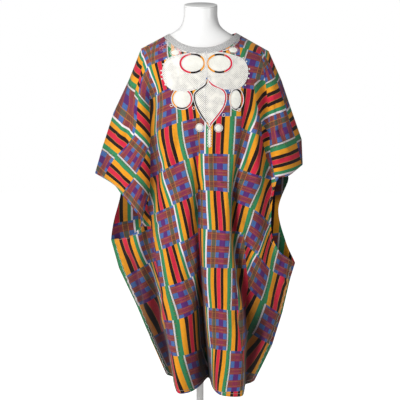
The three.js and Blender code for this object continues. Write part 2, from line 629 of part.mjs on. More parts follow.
// The room that a panel takes over the form: from the seat gap under the cloth to well above it. Its top edge
// runs on across the shoulder ridge, and past the neck hole's edge.
function roomOf(panel, face) {
  const normals = gridNormals(face, () => new THREE.Vector3(0, panel.sign, 0));
  const [left, right] = neckColumns(panel);
  const past = (p, c) => (c > left && c < right
    ? new THREE.Vector3(p.x, p.y, p.z + ROOM_LAP) : new THREE.Vector3(p.x, -panel.sign * ROOM_LAP, p.z));
  const moved = (out) => {
    const rows = face.slice(0, ROOM_ROWS + 1)
      .map((row, r) => row.map((p, c) => p.clone().addScaledVector(normals[r][c], out)));
    return [rows[0].map(past), ...rows];
  };
  return solid(wallGeometry(moved(ROOM_HEIGHT), moved(-WALL - SEAT_GAP)));
}
const seated = solid(formGeometry()).subtract(roomOf(front, frontFace)).subtract(roomOf(back, backFace));
const [largest] = seated.decompose().sort((a, b) => b.volume() - a.volume());
add('form_torso', geometryOf(largest), whiteGloss());

const capTilt = Math.atan(NECK_TILT);
const disc = new THREE.CylinderGeometry(CAP_RADIUS, CAP_RADIUS, CAP_THICK, FORM_SIDES);
const cap = add('form_neck_cap', disc, whiteGloss());
cap.rotation.x = Math.PI / 2 + capTilt;
const capRise = (CAP_THICK / 2 + SEAM_GAP) / Math.cos(capTilt);
cap.position.set(FORM_CENTRE_X, 0, NECK_TOP + capRise);

// ---- the stand -----------------------------------------------------------------------------------
function upright(name, radius, from, to) {
  const geometry = new THREE.CylinderGeometry(radius, radius, to - from, STAND_SIDES).rotateX(Math.PI / 2);
  add(name, geometry, whiteMetal()).position.set(0, 0, (from + to) / 2);
}
const footProfile = [
  [0, 0], [FOOT_RADIUS, 0], [FOOT_RADIUS, FOOT_THICK - FOOT_BEVEL], [FOOT_RADIUS - FOOT_BEVEL, FOOT_THICK],
  [2 * COLLAR_RADIUS, FOOT_THICK + FOOT_CROWN], [COLLAR_RADIUS, FOOT_THICK + 2 * FOOT_CROWN],
  [COLLAR_RADIUS, FOOT_THICK + COLLAR_HEIGHT], [0, FOOT_THICK + COLLAR_HEIGHT],
].map(([r, z]) => new THREE.Vector2(r, z));
add('stand_foot', new THREE.LatheGeometry(footProfile, FOOT_SIDES).rotateX(Math.PI / 2), whiteMetal());
const flangeBottom = FORM[0].z - SEAM_GAP - FLANGE_THICK;
upright('stand_pole', POLE_RADIUS, FOOT_THICK + COLLAR_HEIGHT + SEAM_GAP, flangeBottom - SEAM_GAP);
upright('stand_flange', FLANGE_RADIUS, flangeBottom, flangeBottom + FLANGE_THICK);

export default kaftan;
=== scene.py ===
"""A printed cotton kaftan on a dress form, laid out as an add-on and run as a script.

Lengths in the tables are millimetres, as in the part's source, and meshes are metres. x runs to the
right seen from the front, y to the back, z up.
"""
import math
import bpy
import numpy as np
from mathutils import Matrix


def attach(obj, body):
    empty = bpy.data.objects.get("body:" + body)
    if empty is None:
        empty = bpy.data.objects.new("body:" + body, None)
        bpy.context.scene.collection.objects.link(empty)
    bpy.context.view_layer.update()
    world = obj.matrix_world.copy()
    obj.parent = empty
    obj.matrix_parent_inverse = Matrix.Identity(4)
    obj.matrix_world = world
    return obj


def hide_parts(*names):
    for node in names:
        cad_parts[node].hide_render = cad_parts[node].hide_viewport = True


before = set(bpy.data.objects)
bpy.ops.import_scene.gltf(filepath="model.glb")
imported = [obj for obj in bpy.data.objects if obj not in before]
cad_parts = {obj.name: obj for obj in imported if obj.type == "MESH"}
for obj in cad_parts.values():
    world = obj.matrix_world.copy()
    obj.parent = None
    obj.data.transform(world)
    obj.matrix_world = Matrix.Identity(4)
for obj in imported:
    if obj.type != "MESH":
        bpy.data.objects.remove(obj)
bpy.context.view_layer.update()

bl_info = {
    "name": "Kaftan on a Dress Form",
    "version": (1, 0, 0),
    "blender": (4, 5, 0),
    "location": "View3D > Sidebar > Kaftan",
    "description": "Builds a printed cotton kaftan with an embroidered neck, on its dress form",
    "category": "Object",
}

MM = 0.001
BODY = "root"

# ---- the cut of the cloth ------------------------------------------------------------------------
WALL = 2.0             # the solid's wall; the sewn cloth lies in it
SEAM_GAP = 0.3
EDGE_OFFSET = WALL + SEAM_GAP / 2
NECK_LEFT = (-101.0, 1419.0)
NECK_RIGHT = (118.0, 1422.0)
FRONT_NECK_DROP = 46.0
BACK_NECK_DROP = 14.0
NECK_CURVE = 2.4       # power of the neck hole's curve: 2 is a parabola, more is flatter below
SHOULDER_ROUND = 70.0  # height over which the dome is rounded off under the shoulder fold
DOME_TOP = 1330.0      # above this the cloth follows the form
DOME_END = 1170.0      # below this it hangs in its own folds
DOME_SQUARENESS = 2.6
RIDGE_ROWS = 1.5       # rows of EDGES over which the shoulder folds' line goes over to the level rows
ROUNDINGS = (0.2, 0.25, 0.25, 0.25, 0.25)          # corner cuts that round the folds, in turn
# Heights of the fold tables' levels: shoulder, chest, waist, hip, thigh and hem.
LEVELS = np.array([1360.0, 1160.0, 930.0, 730.0, 500.0, 250.0])
DOME_Z = np.array([1160.0, 1300.0, 1374.0, 1430.0])
DOME_FRONT = np.array([124.0, 112.0, 95.0, 72.0])  # depth of the front at the heights DOME_Z
DOME_BACK = np.array([102.0, 94.0, 76.0, 58.0])

# Name; front left x, z; front right x, z; back left x, z; back right x, z; sharp corner; closed.
EDGES = (
    ("shoulder", -193, 1371, 225, 1363, -193, 1371, 225, 1363, 0, 1),
    ("upper sleeve", -232, 1274, 269, 1266, -232, 1274, 269, 1266, 0, 1),
    ("mid sleeve", -286, 1162, 301, 1175, -286, 1162, 301, 1175, 0, 1),
    ("low sleeve", -326, 1044, 338, 1074, -326, 1044, 338, 1074, 0, 1),
    ("cuff tip", -351, 960, 343, 989, -351, 960, 343, 989, 1, 1),
    ("cuff underside", -288, 932, 290, 960, -290, 930, 300, 955, 0, 0),
    ("cuff edge", -263, 907, 250, 945, -270, 890, 299, 928, 0, 0),
    ("cuff corner", -194, 811, 235, 797, -291, 802, 267, 831, 0, 0),
    ("cuff end", -233, 758, 258, 714, -298, 762, 292, 724, 0, 0),
    ("seam top", -301, 734, 323, 654, -301, 734, 323, 654, 1, 1),
    ("hip", -275, 635, 305, 590, -275, 635, 305, 590, 0, 1),
    ("thigh", -220, 513, 282, 481, -220, 513, 282, 481, 0, 1),
    ("knee", -167, 379, 247, 360, -167, 379, 247, 360, 0, 1),
    ("hem", -118, 262, 190, 240, -118, 262, 190, 240, 0, 1),
)
EDGE_TABLE = np.array([row[1:] for row in EDGES], float)
SHARP, CLOSED = 8, 9   # columns of EDGE_TABLE
ENVELOPE = [0, 1, 2, 3, 4, 9, 10, 11, 12, 13]      # the rows of EDGES on the garment's outline

# Name, x at the shoulder, then x and depth at the chest, waist, hip, thigh and hem.
FRONT_FOLDS = (
    ("left sleeve belly", -188, -245, 52, -275, 70, -252, 40, -190, 26, -108, 12),
    ("left sleeve inside", -180, -188, 76, -195, 96, -212, 72, -166, 46, -98, 20),
    ("left armpit valley", -158, -152, 46, -150, 46, -172, 42, -138, 34, -88, 26),
    ("left body edge", -130, -130, 106, -130, 102, -150, 88, -124, 92, -86, 110),
    ("left lobe", -101, -95, 120, -92, 130, -108, 130, -98, 142, -72, 196),
    ("left lobe front", -64, -52, 126, -48, 132, -60, 138, -56, 152, -28, 166),
    ("middle slope", -32, -20, 126, -20, 120, -24, 112, -14, 108, 4, 90),
    ("middle valley", -2, 0, 126, -6, 104, -2, 84, 12, 54, 31, -12),
    ("middle return", 24, 20, 127, 10, 130, 10, 130, 20, 138, 40, 110),
    ("middle ridge", 54, 52, 128, 42, 137, 42, 142, 46, 156, 62, 176),
    ("right lobe", 88, 92, 125, 84, 136, 84, 142, 96, 158, 108, 182),
    ("right lobe edge", 118, 124, 120, 102, 132, 102, 140, 140, 146, 142, 170),
    ("right lobe valley", 134, 142, 111, 106, 84, 110, 76, 148, 66, 150, 100),
    ("right body edge", 150, 162, 104, 130, 110, 134, 104, 158, 62, 154, 52),
    ("right body", 176, 184, 94, 184, 108, 192, 98, 200, 66, 166, 42),
    ("right armpit valley", 200, 212, 46, 226, 48, 238, 48, 240, 44, 174, 34),
    ("right sleeve inside", 212, 244, 76, 256, 92, 264, 58, 262, 30, 180, 24),
    ("right sleeve belly", 219, 278, 50, 304, 62, 302, 30, 275, 14, 186, 12),
)
BACK_FOLDS = (
    ("left sleeve back", -186, -246, 44, -282, 50, -262, 34, -192, 24, -106, 14),
    ("left back valley", -160, -168, 40, -176, 34, -196, 40, -150, 40, -92, 34),
    ("left back ridge", -101, -112, 96, -118, 100, -122, 108, -100, 128, -64, 170),
    ("left inner ridge", -60, -62, 104, -64, 100, -66, 104, -54, 112, -30, 128),
    ("left inner valley", -20, -26, 103, -30, 92, -30, 86, -22, 70, -8, 52),
    ("middle back ridge", 20, 24, 104, 22, 110, 20, 122, 26, 146, 34, 190),
    ("right inner valley", 64, 70, 102, 74, 92, 78, 86, 82, 74, 82, 62),
    ("right back ridge", 118, 124, 94, 132, 100, 140, 112, 140, 132, 124, 172),
    ("right back valley", 196, 206, 40, 222, 34, 226, 36, 218, 40, 160, 36),
    ("right sleeve back", 218, 276, 42, 304, 46, 300, 28, 272, 16, 182, 14),
)


def mix(a, b, t):
    """From a to b as t goes from 0 to 1."""
    return a + (b - a) * t


def smooth(t):
    """0 below 0, 1 above 1, and 3t^2 - 2t^3 between."""
    c = np.clip(t, 0, 1)
    return c * c * (3 - 2 * c)


def cubic(a, b, slope_a, slope_b, q):
    """Hermite curve from a to b with the given slopes at its ends."""
    q2, q3 = q * q, q * q * q
    start = (2 * q3 - 3 * q2 + 1) * a + (q3 - 2 * q2 + q) * slope_a
    return start + (3 * q2 - 2 * q3) * b + (q3 - q2) * slope_b


def unit(vectors):
    """The vectors divided by their own lengths."""
    return vectors / np.maximum(np.linalg.norm(vectors, axis=-1, keepdims=True), 1e-9)


def run_lengths(points):
    """Length along each row of points up to each of them."""
    steps = np.linalg.norm(np.diff(points, axis=-2), axis=-1)
    return np.concatenate([np.zeros_like(steps[..., :1]), np.cumsum(steps, axis=-1)], axis=-1)


def through_levels(table, z):
    """Each fold's value at the heights z: a smooth curve through the levels of its row."""
    count = len(LEVELS)
    below = np.maximum(np.arange(count) - 1, 0)
    above = np.minimum(np.arange(count) + 1, count - 1)
    slopes = (table[:, above] - table[:, below]) / (LEVELS[above] - LEVELS[below])
    k = np.clip(np.searchsorted(-LEVELS, -z, side="left") - 1, 0, count - 2)
    fold = np.arange(table.shape[0])[None, :]
    step = LEVELS[k + 1] - LEVELS[k]
    q = np.clip((z - LEVELS[k]) / step, 0, 1)
    slope_a, slope_b = step * slopes[fold, k], step * slopes[fold, k + 1]
    return cubic(table[fold, k], table[fold, k + 1], slope_a, slope_b, q)


class Panel:
    """One panel of the cloth: its folds, and the lines between the zones of its mesh.

    A zone is (the fold number that its right edge follows at each of ZONE_HEIGHTS, mesh columns); the
    last zone ends at the side edge. Fold numbers between whole ones lie between two folds.
    """

    def __init__(self, sign, folds, neck_drop, dome, zones):
        numbers = np.array([fold[1:] for fold in folds], float)
        self.sign = sign
        self.x = np.concatenate([numbers[:, :1], numbers[:, 1::2]], axis=1)
        self.depth = np.concatenate([numbers[:, 2:3], numbers[:, 2::2]], axis=1)
        self.neck_drop = neck_drop
        self.dome = dome
        self.zones = zones


LEAST_COLUMN = 0.3     # where a cuff's cut reaches into a zone, its columns draw together to this
ZONE_HEIGHTS = (1360, 1160, 930, 850, 730, 600, 500, 400, 330, 250)
FRONT_ZONES = (
    ((0.8, 0.8, 0.8, 0.9, 1.0, 1.0, 1.0, 1.0, 1.0, 1.0), 30),
    ((2.0, 2.0, 2.0, 2.0, 3.2, 3.4, 3.4, 3.4, 3.4, 3.4), 12),
    ((7.0, 7.0, 7.0, 7.0, 7.0, 7.2, 7.8, 7.6, 7.2, 7.0), 56),
    ((11.5, 11.5, 11.3, 11.3, 11.3, 11.0, 10.5, 10.7, 11.2, 11.5), 48),
    ((13.0, 13.0, 13.0, 13.0, 13.0, 13.0, 12.2, 12.0, 12.0, 12.0), 9),
    ((15.0,) * 10, 36),
    (None, 30),
)
BACK_ZONES = (
    ((1.0,) * 10, 28),
    ((2.0,) * 10, 14),
    ((7.0,) * 10, 60),
    ((8.0,) * 10, 14),
    (None, 28),
)
FRONT = Panel(-1, FRONT_FOLDS, FRONT_NECK_DROP, DOME_FRONT, FRONT_ZONES)
BACK = Panel(1, BACK_FOLDS, BACK_NECK_DROP, DOME_BACK, BACK_ZONES)


def edge_points(panel, side, v):
    """The panel's side edge at the row numbers v: a smooth line through EDGES, with its sharp corners."""
    column = (0 if side < 0 else 2) + (0 if panel.sign < 0 else 4)
    p = EDGE_TABLE[:, column:column + 2]
    sharp = EDGE_TABLE[:, SHARP] > 0
    n = len(p)
    k = np.clip(np.floor(v).astype(int), 0, n - 2)
    a, b = p[k], p[k + 1]
    before, after = p[np.maximum(k - 1, 0)], p[np.minimum(k + 2, n - 1)]
    slope_a = np.where((sharp[k] | (k == 0))[:, None], b - a, (b - before) / 2)
    slope_b = np.where((sharp[k + 1] | (k + 2 >= n))[:, None], b - a, (after - a) / 2)
    return cubic(a, b, slope_a, slope_b, (v - k)[:, None])


def outline_x(side, z):
    """x of the garment's outline on one side at the heights z."""
    column = 0 if side < 0 else 2
    return np.interp(-z, -EDGE_TABLE[ENVELOPE, column + 1], EDGE_TABLE[ENVELOPE, column])


def ridge_z(x):
    """Height of the shoulder fold: level past its outer end, then straight up to the neck's corner."""
    left = x < 0
    corner_x = np.where(left, NECK_LEFT[0], NECK_RIGHT[0])
    corner_z = np.where(left, NECK_LEFT[1], NECK_RIGHT[1])
    end_x = np.where(left, EDGE_TABLE[0, 0], EDGE_TABLE[0, 2])
    end_z = np.where(left, EDGE_TABLE[0, 1], EDGE_TABLE[0, 3])
    slope = (corner_z - end_z) / (np.abs(end_x) - np.abs(corner_x))
    return np.maximum(end_z, corner_z + slope * (np.abs(corner_x) - np.abs(x)))


def neck_share(x):
    """0 at the neck hole's left corner, 1 at its right one."""
    return (x - NECK_LEFT[0]) / (NECK_RIGHT[0] - NECK_LEFT[0])


def top_z(panel, x):
    """The panel's upper edge: the shoulder folds, and between the corners the neck hole's curve."""
    t = neck_share(x)
    u = np.abs(2 * np.clip(t, 0, 1) - 1)
    hole = mix(NECK_LEFT[1], NECK_RIGHT[1], t) - panel.neck_drop * (1 - u ** NECK_CURVE)
    return np.where((t <= 0) | (t >= 1), ridge_z(x), hole)


def dome_depth(panel, x, z):
    """How far the cloth stands out over the form: a squarish arch across, rounded off at the shoulder."""
    left, right = outline_x(-1, z), outline_x(1, z)
    across = np.clip(np.abs((x - (left + right) / 2) / ((right - left) / 2)), 0, 1)
    turn = np.clip((ridge_z(x) - z) / SHOULDER_ROUND, 0, 1)
    arch = np.sqrt(1 - across ** DOME_SQUARENESS) * np.sqrt(1 - (1 - turn) ** 2)
    return np.interp(z, DOME_Z, panel.dome) * arch


def cut_corners(lines, share):
    """Each line with every inner corner cut off, at a share of its two legs."""
    a, b = lines[:, :-1], lines[:, 1:]
    n = a.shape[1]
    first, last = np.full(n, share), np.full(n, share)
    first[0], last[-1] = share / 2, share / 2
    legs = np.stack([mix(a, b, first[None, :, None]), mix(a, b, 1 - last[None, :, None])], axis=2)
    return np.concatenate([lines[:, :1], legs.reshape(lines.shape[0], 2 * n, 3), lines[:, -1:]], axis=1)


def first_crossing(line_x, length, x):
    """Length along each row at which its x first passes the given x."""
    away = line_x - x[:, None]
    hit = (away[:, :-1] * away[:, 1:] <= 0) & (line_x[:, :-1] != line_x[:, 1:])
    i = hit.argmax(axis=1)
    row = np.arange(len(x))
    q = (x - line_x[row, i]) / np.where(hit[row, i], line_x[row, i + 1] - line_x[row, i], 1)
    return np.where(hit[row, i], mix(length[row, i], length[row, i + 1], q), length[:, 0])


def row_numbers(step):
    """Row numbers down a panel, about one for each step of its height."""
    z = (EDGE_TABLE[:, 1] + EDGE_TABLE[:, 3]) / 2
    counts = np.ceil((z[:-1] - z[1:]) / step).astype(int)
    return np.concatenate([[0.0]] + [k + np.arange(1, n + 1) / n for k, n in enumerate(counts)])


def panel_surface(panel, v):
    """The outer face of a panel as rows by columns of points, with lengths along its rows.

    The lengths are each point's and each fold line's. Each row runs from the left edge through the fold
    lines' points at its height to the right edge, with its corners cut into a curve. Over the form its
    depth goes over to the dome's. Columns lie at equal steps of length within each zone.
    """
    left, right = edge_points(panel, -1, v), edge_points(panel, 1, v)
    lx, lz, rx, rz = left[:, :1], left[:, 1:], right[:, :1], right[:, 1:]

    def base(x):
        return mix(lz, rz, np.clip((x - lx) / (rx - lx), 0, 1))

    def end(side, z):
        return np.stack([outline_x(side, z), np.full_like(z, panel.sign * EDGE_OFFSET), z], axis=-1)

    z = base(panel.x[None, :, 2] * np.ones_like(lx))
    for _ in range(3):                 # a fold's x gives its height, and its height gives its x
        x = through_levels(panel.x, z)
        z = base(x)
    folds = np.stack([x, panel.sign * (EDGE_OFFSET + through_levels(panel.depth, z)), z], axis=-1)
    line = np.concatenate([end(-1, lz), folds, end(1, rz)], axis=1)
    for share in ROUNDINGS:
        line = cut_corners(line, share)

    free = smooth(v / RIDGE_ROWS)[:, None]
    px = line[..., 0]
    shoulder_z = mix(EDGE_TABLE[0, 1], EDGE_TABLE[0, 3], np.clip((px - lx) / (rx - lx), 0, 1))
    rise = top_z(panel, np.clip(px, EDGE_TABLE[0, 0], EDGE_TABLE[0, 2])) - shoulder_z
    pz = base(px) + rise * (1 - free)
    hang = smooth((DOME_TOP - pz) / (DOME_TOP - DOME_END))
    py = mix(panel.sign * (EDGE_OFFSET + dome_depth(panel, px, pz)), line[..., 1], hang)
    line = np.stack([px, py, pz], axis=-1)

    n = line.shape[1]
    length = run_lengths(line)
    start = first_crossing(px, length, lx[:, 0])
    stop = length[:, -1] - first_crossing(px[:, ::-1], length[:, -1:] - length[:, ::-1], rx[:, 0])
    bounds = [start]
    row = np.arange(len(v))
    counts = np.cumsum([count for _, count in panel.zones])
    for k, (folds_at, _) in enumerate(panel.zones[:-1]):
        fold = np.interp(-z.mean(axis=1), -np.array(ZONE_HEIGHTS, float), folds_at)
        place = (fold + 1) / (len(panel.x) + 1) * (n - 1)
        i = place.astype(int)
        on_line = mix(length[row, i], length[row, i + 1], place - i)
        top_x = np.interp(fold, np.arange(len(panel.x)), panel.x[:, 0])
        at_top = first_crossing(px, length, top_x)
        bound = np.where(free[:, 0] < 1, mix(at_top, on_line, free[:, 0]), on_line)
        least = start + LEAST_COLUMN * counts[k]
        bounds.append(np.clip(bound, least, stop - LEAST_COLUMN * (counts[-1] - counts[k])))
    bounds.append(stop)

    columns = [start[:, None]]
    for k, (_, count) in enumerate(panel.zones):
        t = np.arange(1, count + 1) / count
        columns.append(mix(bounds[k][:, None], bounds[k + 1][:, None], t[None, :]))
    s = np.concatenate(columns, axis=1)
    i = np.clip((length[:, None, :] <= s[:, :, None]).sum(-1) - 1, 0, n - 2)
    row = np.arange(len(v))[:, None]
    a, b = length[row, i], length[row, i + 1]
    q = np.clip((s - a) / np.maximum(b - a, 1e-9), 0, 1)
    fold_at = np.round(np.arange(1, len(panel.x) + 1) / (len(panel.x) + 1) * (n - 1)).astype(int)
    return mix(line[row, i], line[row, i + 1], q[..., None]), s, length[:, fold_at]


def grid_normals(points, outward):
    """Unit normals of a grid, from the cross product of its two directions, turned outward."""
    down = np.gradient(points, axis=0)
    across = np.gradient(points, axis=1)
    normal = unit(np.cross(across, down))
    return normal * np.sign((normal * outward).sum(axis=-1).mean())


# Soft creases laid on the faces: x and z of both ends as seen from that side at y = 0, how far
# the middle bows, half width, and height out of the face, less than 0 for a trough.
FRONT_CREASES = (
    (-112, 1225, -148, 900, -10, 13, -4.5), (-60, 1150, -100, 700, 9, 15, -5.5),
    (-28, 1060, -58, 640, -6, 11, 4.0), (-78, 830, -58, 300, 7, 15, -5.5),
    (-18, 770, -40, 420, -5, 11, 4.5), (58, 1090, 70, 760, 6, 13, -4.0),
    (44, 700, 62, 300, -6, 13, -4.5), (96, 980, 80, 560, 5, 11, 3.5),
    (150, 1230, 160, 900, -7, 12, -4.5), (186, 1180, 205, 860, 6, 11, 3.5),
    (150, 850, 202, 560, 9, 13, -6.0), (182, 640, 150, 330, -8, 13, 4.5),
    (-240, 1240, -262, 1010, -10, 13, -6.0), (-202, 1200, -282, 1040, 8, 11, 4.5),
    (-300, 1060, -332, 965, 4, 9, -3.5), (-256, 1010, -236, 870, 6, 11, 4.5),
    (250, 1232, 284, 1040, 8, 12, -6.0), (236, 1120, 302, 1000, -7, 10, 4.0),
    (-252, 700, -192, 480, -8, 12, -6.0), (-216, 640, -150, 400, 7, 11, 4.5),
    (-180, 520, -112, 300, -6, 11, -5.0), (286, 690, 262, 480, 8, 12, -6.0),
    (232, 560, 200, 330, -6, 11, 4.5), (-142, 1330, -132, 1205, 3, 11, -4.0),
    (160, 1338, 150, 1222, -3, 11, -4.0), (-206, 985, -178, 938, 3, 7, -3.5),
    (-192, 902, -226, 862, -3, 7, 3.5), (304, 1022, 256, 986, 3, 8, -3.5),
    (-152, 795, -118, 742, -3, 8, -3.5), (118, 768, 152, 732, 3, 8, -3.5),
    (-288, 1102, -238, 1076, 3, 8, -3.0), (292, 1122, 250, 1092, -3, 8, -3.0),
    (-268, 765, -224, 732, 3, 8, -3.5), (270, 640, 300, 560, 4, 8, 3.5),
    (-120, 560, -140, 380, -5, 9, 3.5), (10, 960, -6, 780, 4, 10, -3.5),
    (128, 640, 120, 400, -4, 10, -4.0), (-205, 1305, -232, 1235, 3, 8, 3.0),
    (222, 1310, 252, 1240, -3, 8, 3.0),
)
BACK_CREASES = (
    (-120, 1210, -160, 860, -9, 14, -5.5), (-72, 1140, -92, 700, 8, 14, -5.0),
    (-40, 900, -52, 380, 5, 12, 4.0), (60, 1120, 72, 740, -6, 13, -5.0),
    (112, 1000, 120, 520, 7, 12, 4.0), (160, 1220, 190, 880, -8, 13, -5.5),
    (-240, 1230, -270, 1010, -9, 13, -6.0), (252, 1220, 290, 1030, 8, 12, -6.0),
    (-230, 690, -170, 430, -7, 12, -5.5), (262, 660, 214, 400, 7, 12, -5.5),
    (-150, 800, -130, 480, 6, 11, 4.0), (170, 760, 160, 420, -6, 11, -4.5),
    (-262, 1020, -236, 880, 5, 10, 4.0), (264, 1030, 240, 880, -5, 10, 4.0),
    (16, 640, 24, 330, 4, 11, -4.0), (-205, 990, -176, 940, 3, 8, -3.5),
    (230, 1000, 204, 944, -3, 8, -3.5),
)
CREASE_FADES = (0.22, 0.28)            # shares of its length over which a crease starts and ends
PUCKER = 1.3                           # height of the puckers
PUCKER_WAVE = 3.7                      # height between them over 2 pi
PUCKER_WANDER = (1.7, 47.0)            # how far their phase swings, and over what height
PUCKER_LINE = (13.0, 10.0)             # their distance from the edge, and their half width
PUCKER_TOP = (770.0, 50.0)             # they start below this height, over this much
CHEST_SHARE = 0.25                     # share of the creases that is left where the form fills the cloth
CHEST_END = (1290.0, 130.0)            # they are full below this height, over this much
FLAT_EDGE = 9.0                        # the last of the face, over which creases run out


def creased(points, s, x, z, table, share):
    """Points moved out along the face's normal by the creases, and by the puckers of the side seams.

    A crease is a bell across its line, faded in and out along it, and its line is an arc: a straight
    line moved sideways by four times the bow times q times 1 - q at its share q. The puckers are a sine
    of the height whose phase swings, under a bell along the edge.
    """
    x1, z1, x2, z2, bow, half, height = np.array(table, float).T
    run = np.hypot(x2 - x1, z2 - z1)
    tx, tz = (x2 - x1) / run, (z2 - z1) / run
    dx, dz = x[..., None] - x1, z[..., None] - z1
    q = (dx * tx + dz * tz) / run
    aside = dx * tz - dz * tx - bow * 4 * q * (1 - q)
    fade = smooth(q / CREASE_FADES[0]) * smooth((1 - q) / CREASE_FADES[1])
    rise = (height * np.exp(-(aside / half) ** 2) * fade).sum(axis=-1)
    edge = np.minimum(s - s[:, :1], s[:, -1:] - s)
    up = points[..., 2]
    wave = np.sin(up / PUCKER_WAVE + PUCKER_WANDER[0] * np.sin(up / PUCKER_WANDER[1]))
    pucker = wave * np.exp(-((edge - PUCKER_LINE[0]) / PUCKER_LINE[1]) ** 2)
    rise += PUCKER * pucker * smooth((PUCKER_TOP[0] - up) / PUCKER_TOP[1])
    held = mix(CHEST_SHARE, 1.0, smooth((CHEST_END[0] - up) / CHEST_END[1]))
    inner = smooth(edge / FLAT_EDGE)
    normal = grid_normals(points, np.array([0.0, np.sign(points[..., 1].mean()), 0.0]))
    return points + (rise * held * inner * share)[..., None] * normal


# ---- meshes --------------------------------------------------------------------------------------
def grid_faces(rows, columns, wrap=False, flip=False):
    """Quads of a grid of rows by columns; wrap joins the last column to the first."""
    index = np.arange(rows * columns).reshape(rows, columns)
    right = np.roll(index, -1, axis=1) if wrap else index[:, 1:]
    left = index if wrap else index[:, :-1]
    quads = np.stack([left[:-1], left[1:], right[1:], right[:-1]], axis=-1).reshape(-1, 4)
    return quads[:, ::-1] if flip else quads


def add_object(name, data):
    """An object of the given mesh, light or camera in the scene, unturned and at the origin."""
    piece = bpy.data.objects.new(name, data)
    bpy.context.scene.collection.objects.link(piece)
    return piece


def make_object(name, points, faces, finish, uv=None):
    """An object from millimetre points and faces; uv holds one pair for each face corner."""
    mesh = bpy.data.meshes.new(name)
    mesh.from_pydata((np.asarray(points).reshape(-1, 3) * MM).tolist(), [], [list(f) for f in faces])
    if uv is not None:
        layer = mesh.uv_layers.new(name="cloth")
        layer.data.foreach_set("uv", np.asarray(uv, np.float32).ravel())
    mesh.polygons.foreach_set("use_smooth", np.ones(len(mesh.polygons), bool))
    mesh.update()
    mesh.materials.append(finish)
    piece = add_object(name, mesh)
    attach(piece, BODY)
    return piece


def corner_uv(faces, u, v):
    """Pairs for every face corner from values at the points."""
    corners = np.concatenate(list(faces))
    return np.stack([u.ravel()[corners], v.ravel()[corners]], axis=-1)


def add_capped(name, rings, low, high, finish):
    """Rings joined from the lowest one up, each end closed by a fan round its middle point."""
    count, sides = rings.shape[:2]
    points = np.concatenate([rings.reshape(-1, 3), [low, high]])
    first = np.arange(sides)
    last = (count - 1) * sides + first
    bottom = np.stack([np.full(sides, count * sides), np.roll(first, -1), first], axis=-1)
    top = np.stack([np.full(sides, count * sides + 1), last, np.roll(last, -1)], axis=-1)
    faces = [*grid_faces(count, sides, wrap=True, flip=True), *bottom, *top]
    return make_object(name, points, faces, finish)


def lathe(name, profile, centre_x, sides, finish, tilt=0.0):
    """A profile of (radius, z) carried round the upright axis at centre_x, with its poles closed."""
    r, z = np.array(profile, float).T
    angle = 2 * np.pi * np.arange(sides) / sides
    x = centre_x + r[:, None] * np.cos(angle)
    y = r[:, None] * np.sin(angle)
    rings = np.stack([x, y, z[:, None] + tilt * y], axis=-1)
    return add_capped(name, rings, [centre_x, 0, z[0]], [centre_x, 0, z[-1]], finish)


# ---- colours -------------------------------------------------------------------------------------
def colour(code):
    """A linear colour from an sRGB hex code."""
    parts = np.array([int(code[i:i + 2], 16) for i in (1, 3, 5)]) / 255
    linear = np.where(parts <= 0.04045, parts / 12.92, ((parts + 0.055) / 1.055) ** 2.4)
    return (*linear.tolist(), 1.0)


def grey(level):
    """A colour of three like parts."""
    return (level, level, level, 1)


# ---- shader node helpers -------------------------------------------------------------------------
class Nodes:
    """Adds nodes to a tree from left to right and links plain values or sockets to their inputs."""

    def __init__(self, tree):
        self.tree = tree
        self.step = 0

    def add(self, kind, inputs=None, **settings):
        """A new node with the given settings and inputs."""
        node = self.tree.nodes.new(kind)
        node.location = (self.step * 160, -(self.step % 5) * 60)
        self.step += 1
        for key, value in settings.items():
            setattr(node, key, value)
        self.fill(node, inputs or {})
        return node

    def fill(self, node, inputs):
        """Gives each named or numbered input its value, or links it to a socket."""
        for key, value in inputs.items():
            if isinstance(value, bpy.types.NodeSocket):
                self.tree.links.new(value, node.inputs[key])
            else:
                node.inputs[key].default_value = value

    def math(self, operation, a, b=0.0, c=0.0):
        """A sum, product or the like of up to three values."""
        return self.add("ShaderNodeMath", {0: a, 1: b, 2: c}, operation=operation).outputs[0]

    def vector(self, operation, a, b):
        """A sum or difference of two vectors, or a vector scaled by a number."""
        second = "Scale" if operation == "SCALE" else 1
        return self.add("ShaderNodeVectorMath", {0: a, second: b}, operation=operation).outputs[0]

    def noise(self, place, scale, detail, **inputs):
        """A noise node, whose values wander between 0 and 1 from place to place."""
        inputs = {"Vector": place, "Scale": scale, "Detail": detail, **inputs}
        return self.add("ShaderNodeTexNoise", inputs)

    def blend(self, share, a, b, mode="MIX"):
        """Two colours mixed by a share, or multiplied by it."""
        node = self.add("ShaderNodeMix", {0: share, 6: a, 7: b}, data_type="RGBA", blend_type=mode)
        return node.outputs[2]

    def bump(self, height, strength, distance, **inputs):
        """A normal bent by a height."""
        inputs = {"Height": height, "Strength": strength, "Distance": distance, **inputs}
        return self.add("ShaderNodeBump", inputs).outputs[0]

    def group(self, name, inputs):
        """A node of the named shader group."""
        return self.add("ShaderNodeGroup", inputs, node_tree=bpy.data.node_groups[name])

    def ramp(self, value, stops, interpolation="LINEAR"):
        """Colours along a value: (position, colour) stops, from the lowest up."""
        node = self.add("ShaderNodeValToRGB", {0: value})
        node.color_ramp.interpolation = interpolation
        elements = node.color_ramp.elements
        elements[0].position, elements[0].color = stops[0]
        elements[1].position, elements[1].color = stops[1]
        for position, shade in stops[2:]:
            elements.new(position).color = shade
        return node.outputs[0]


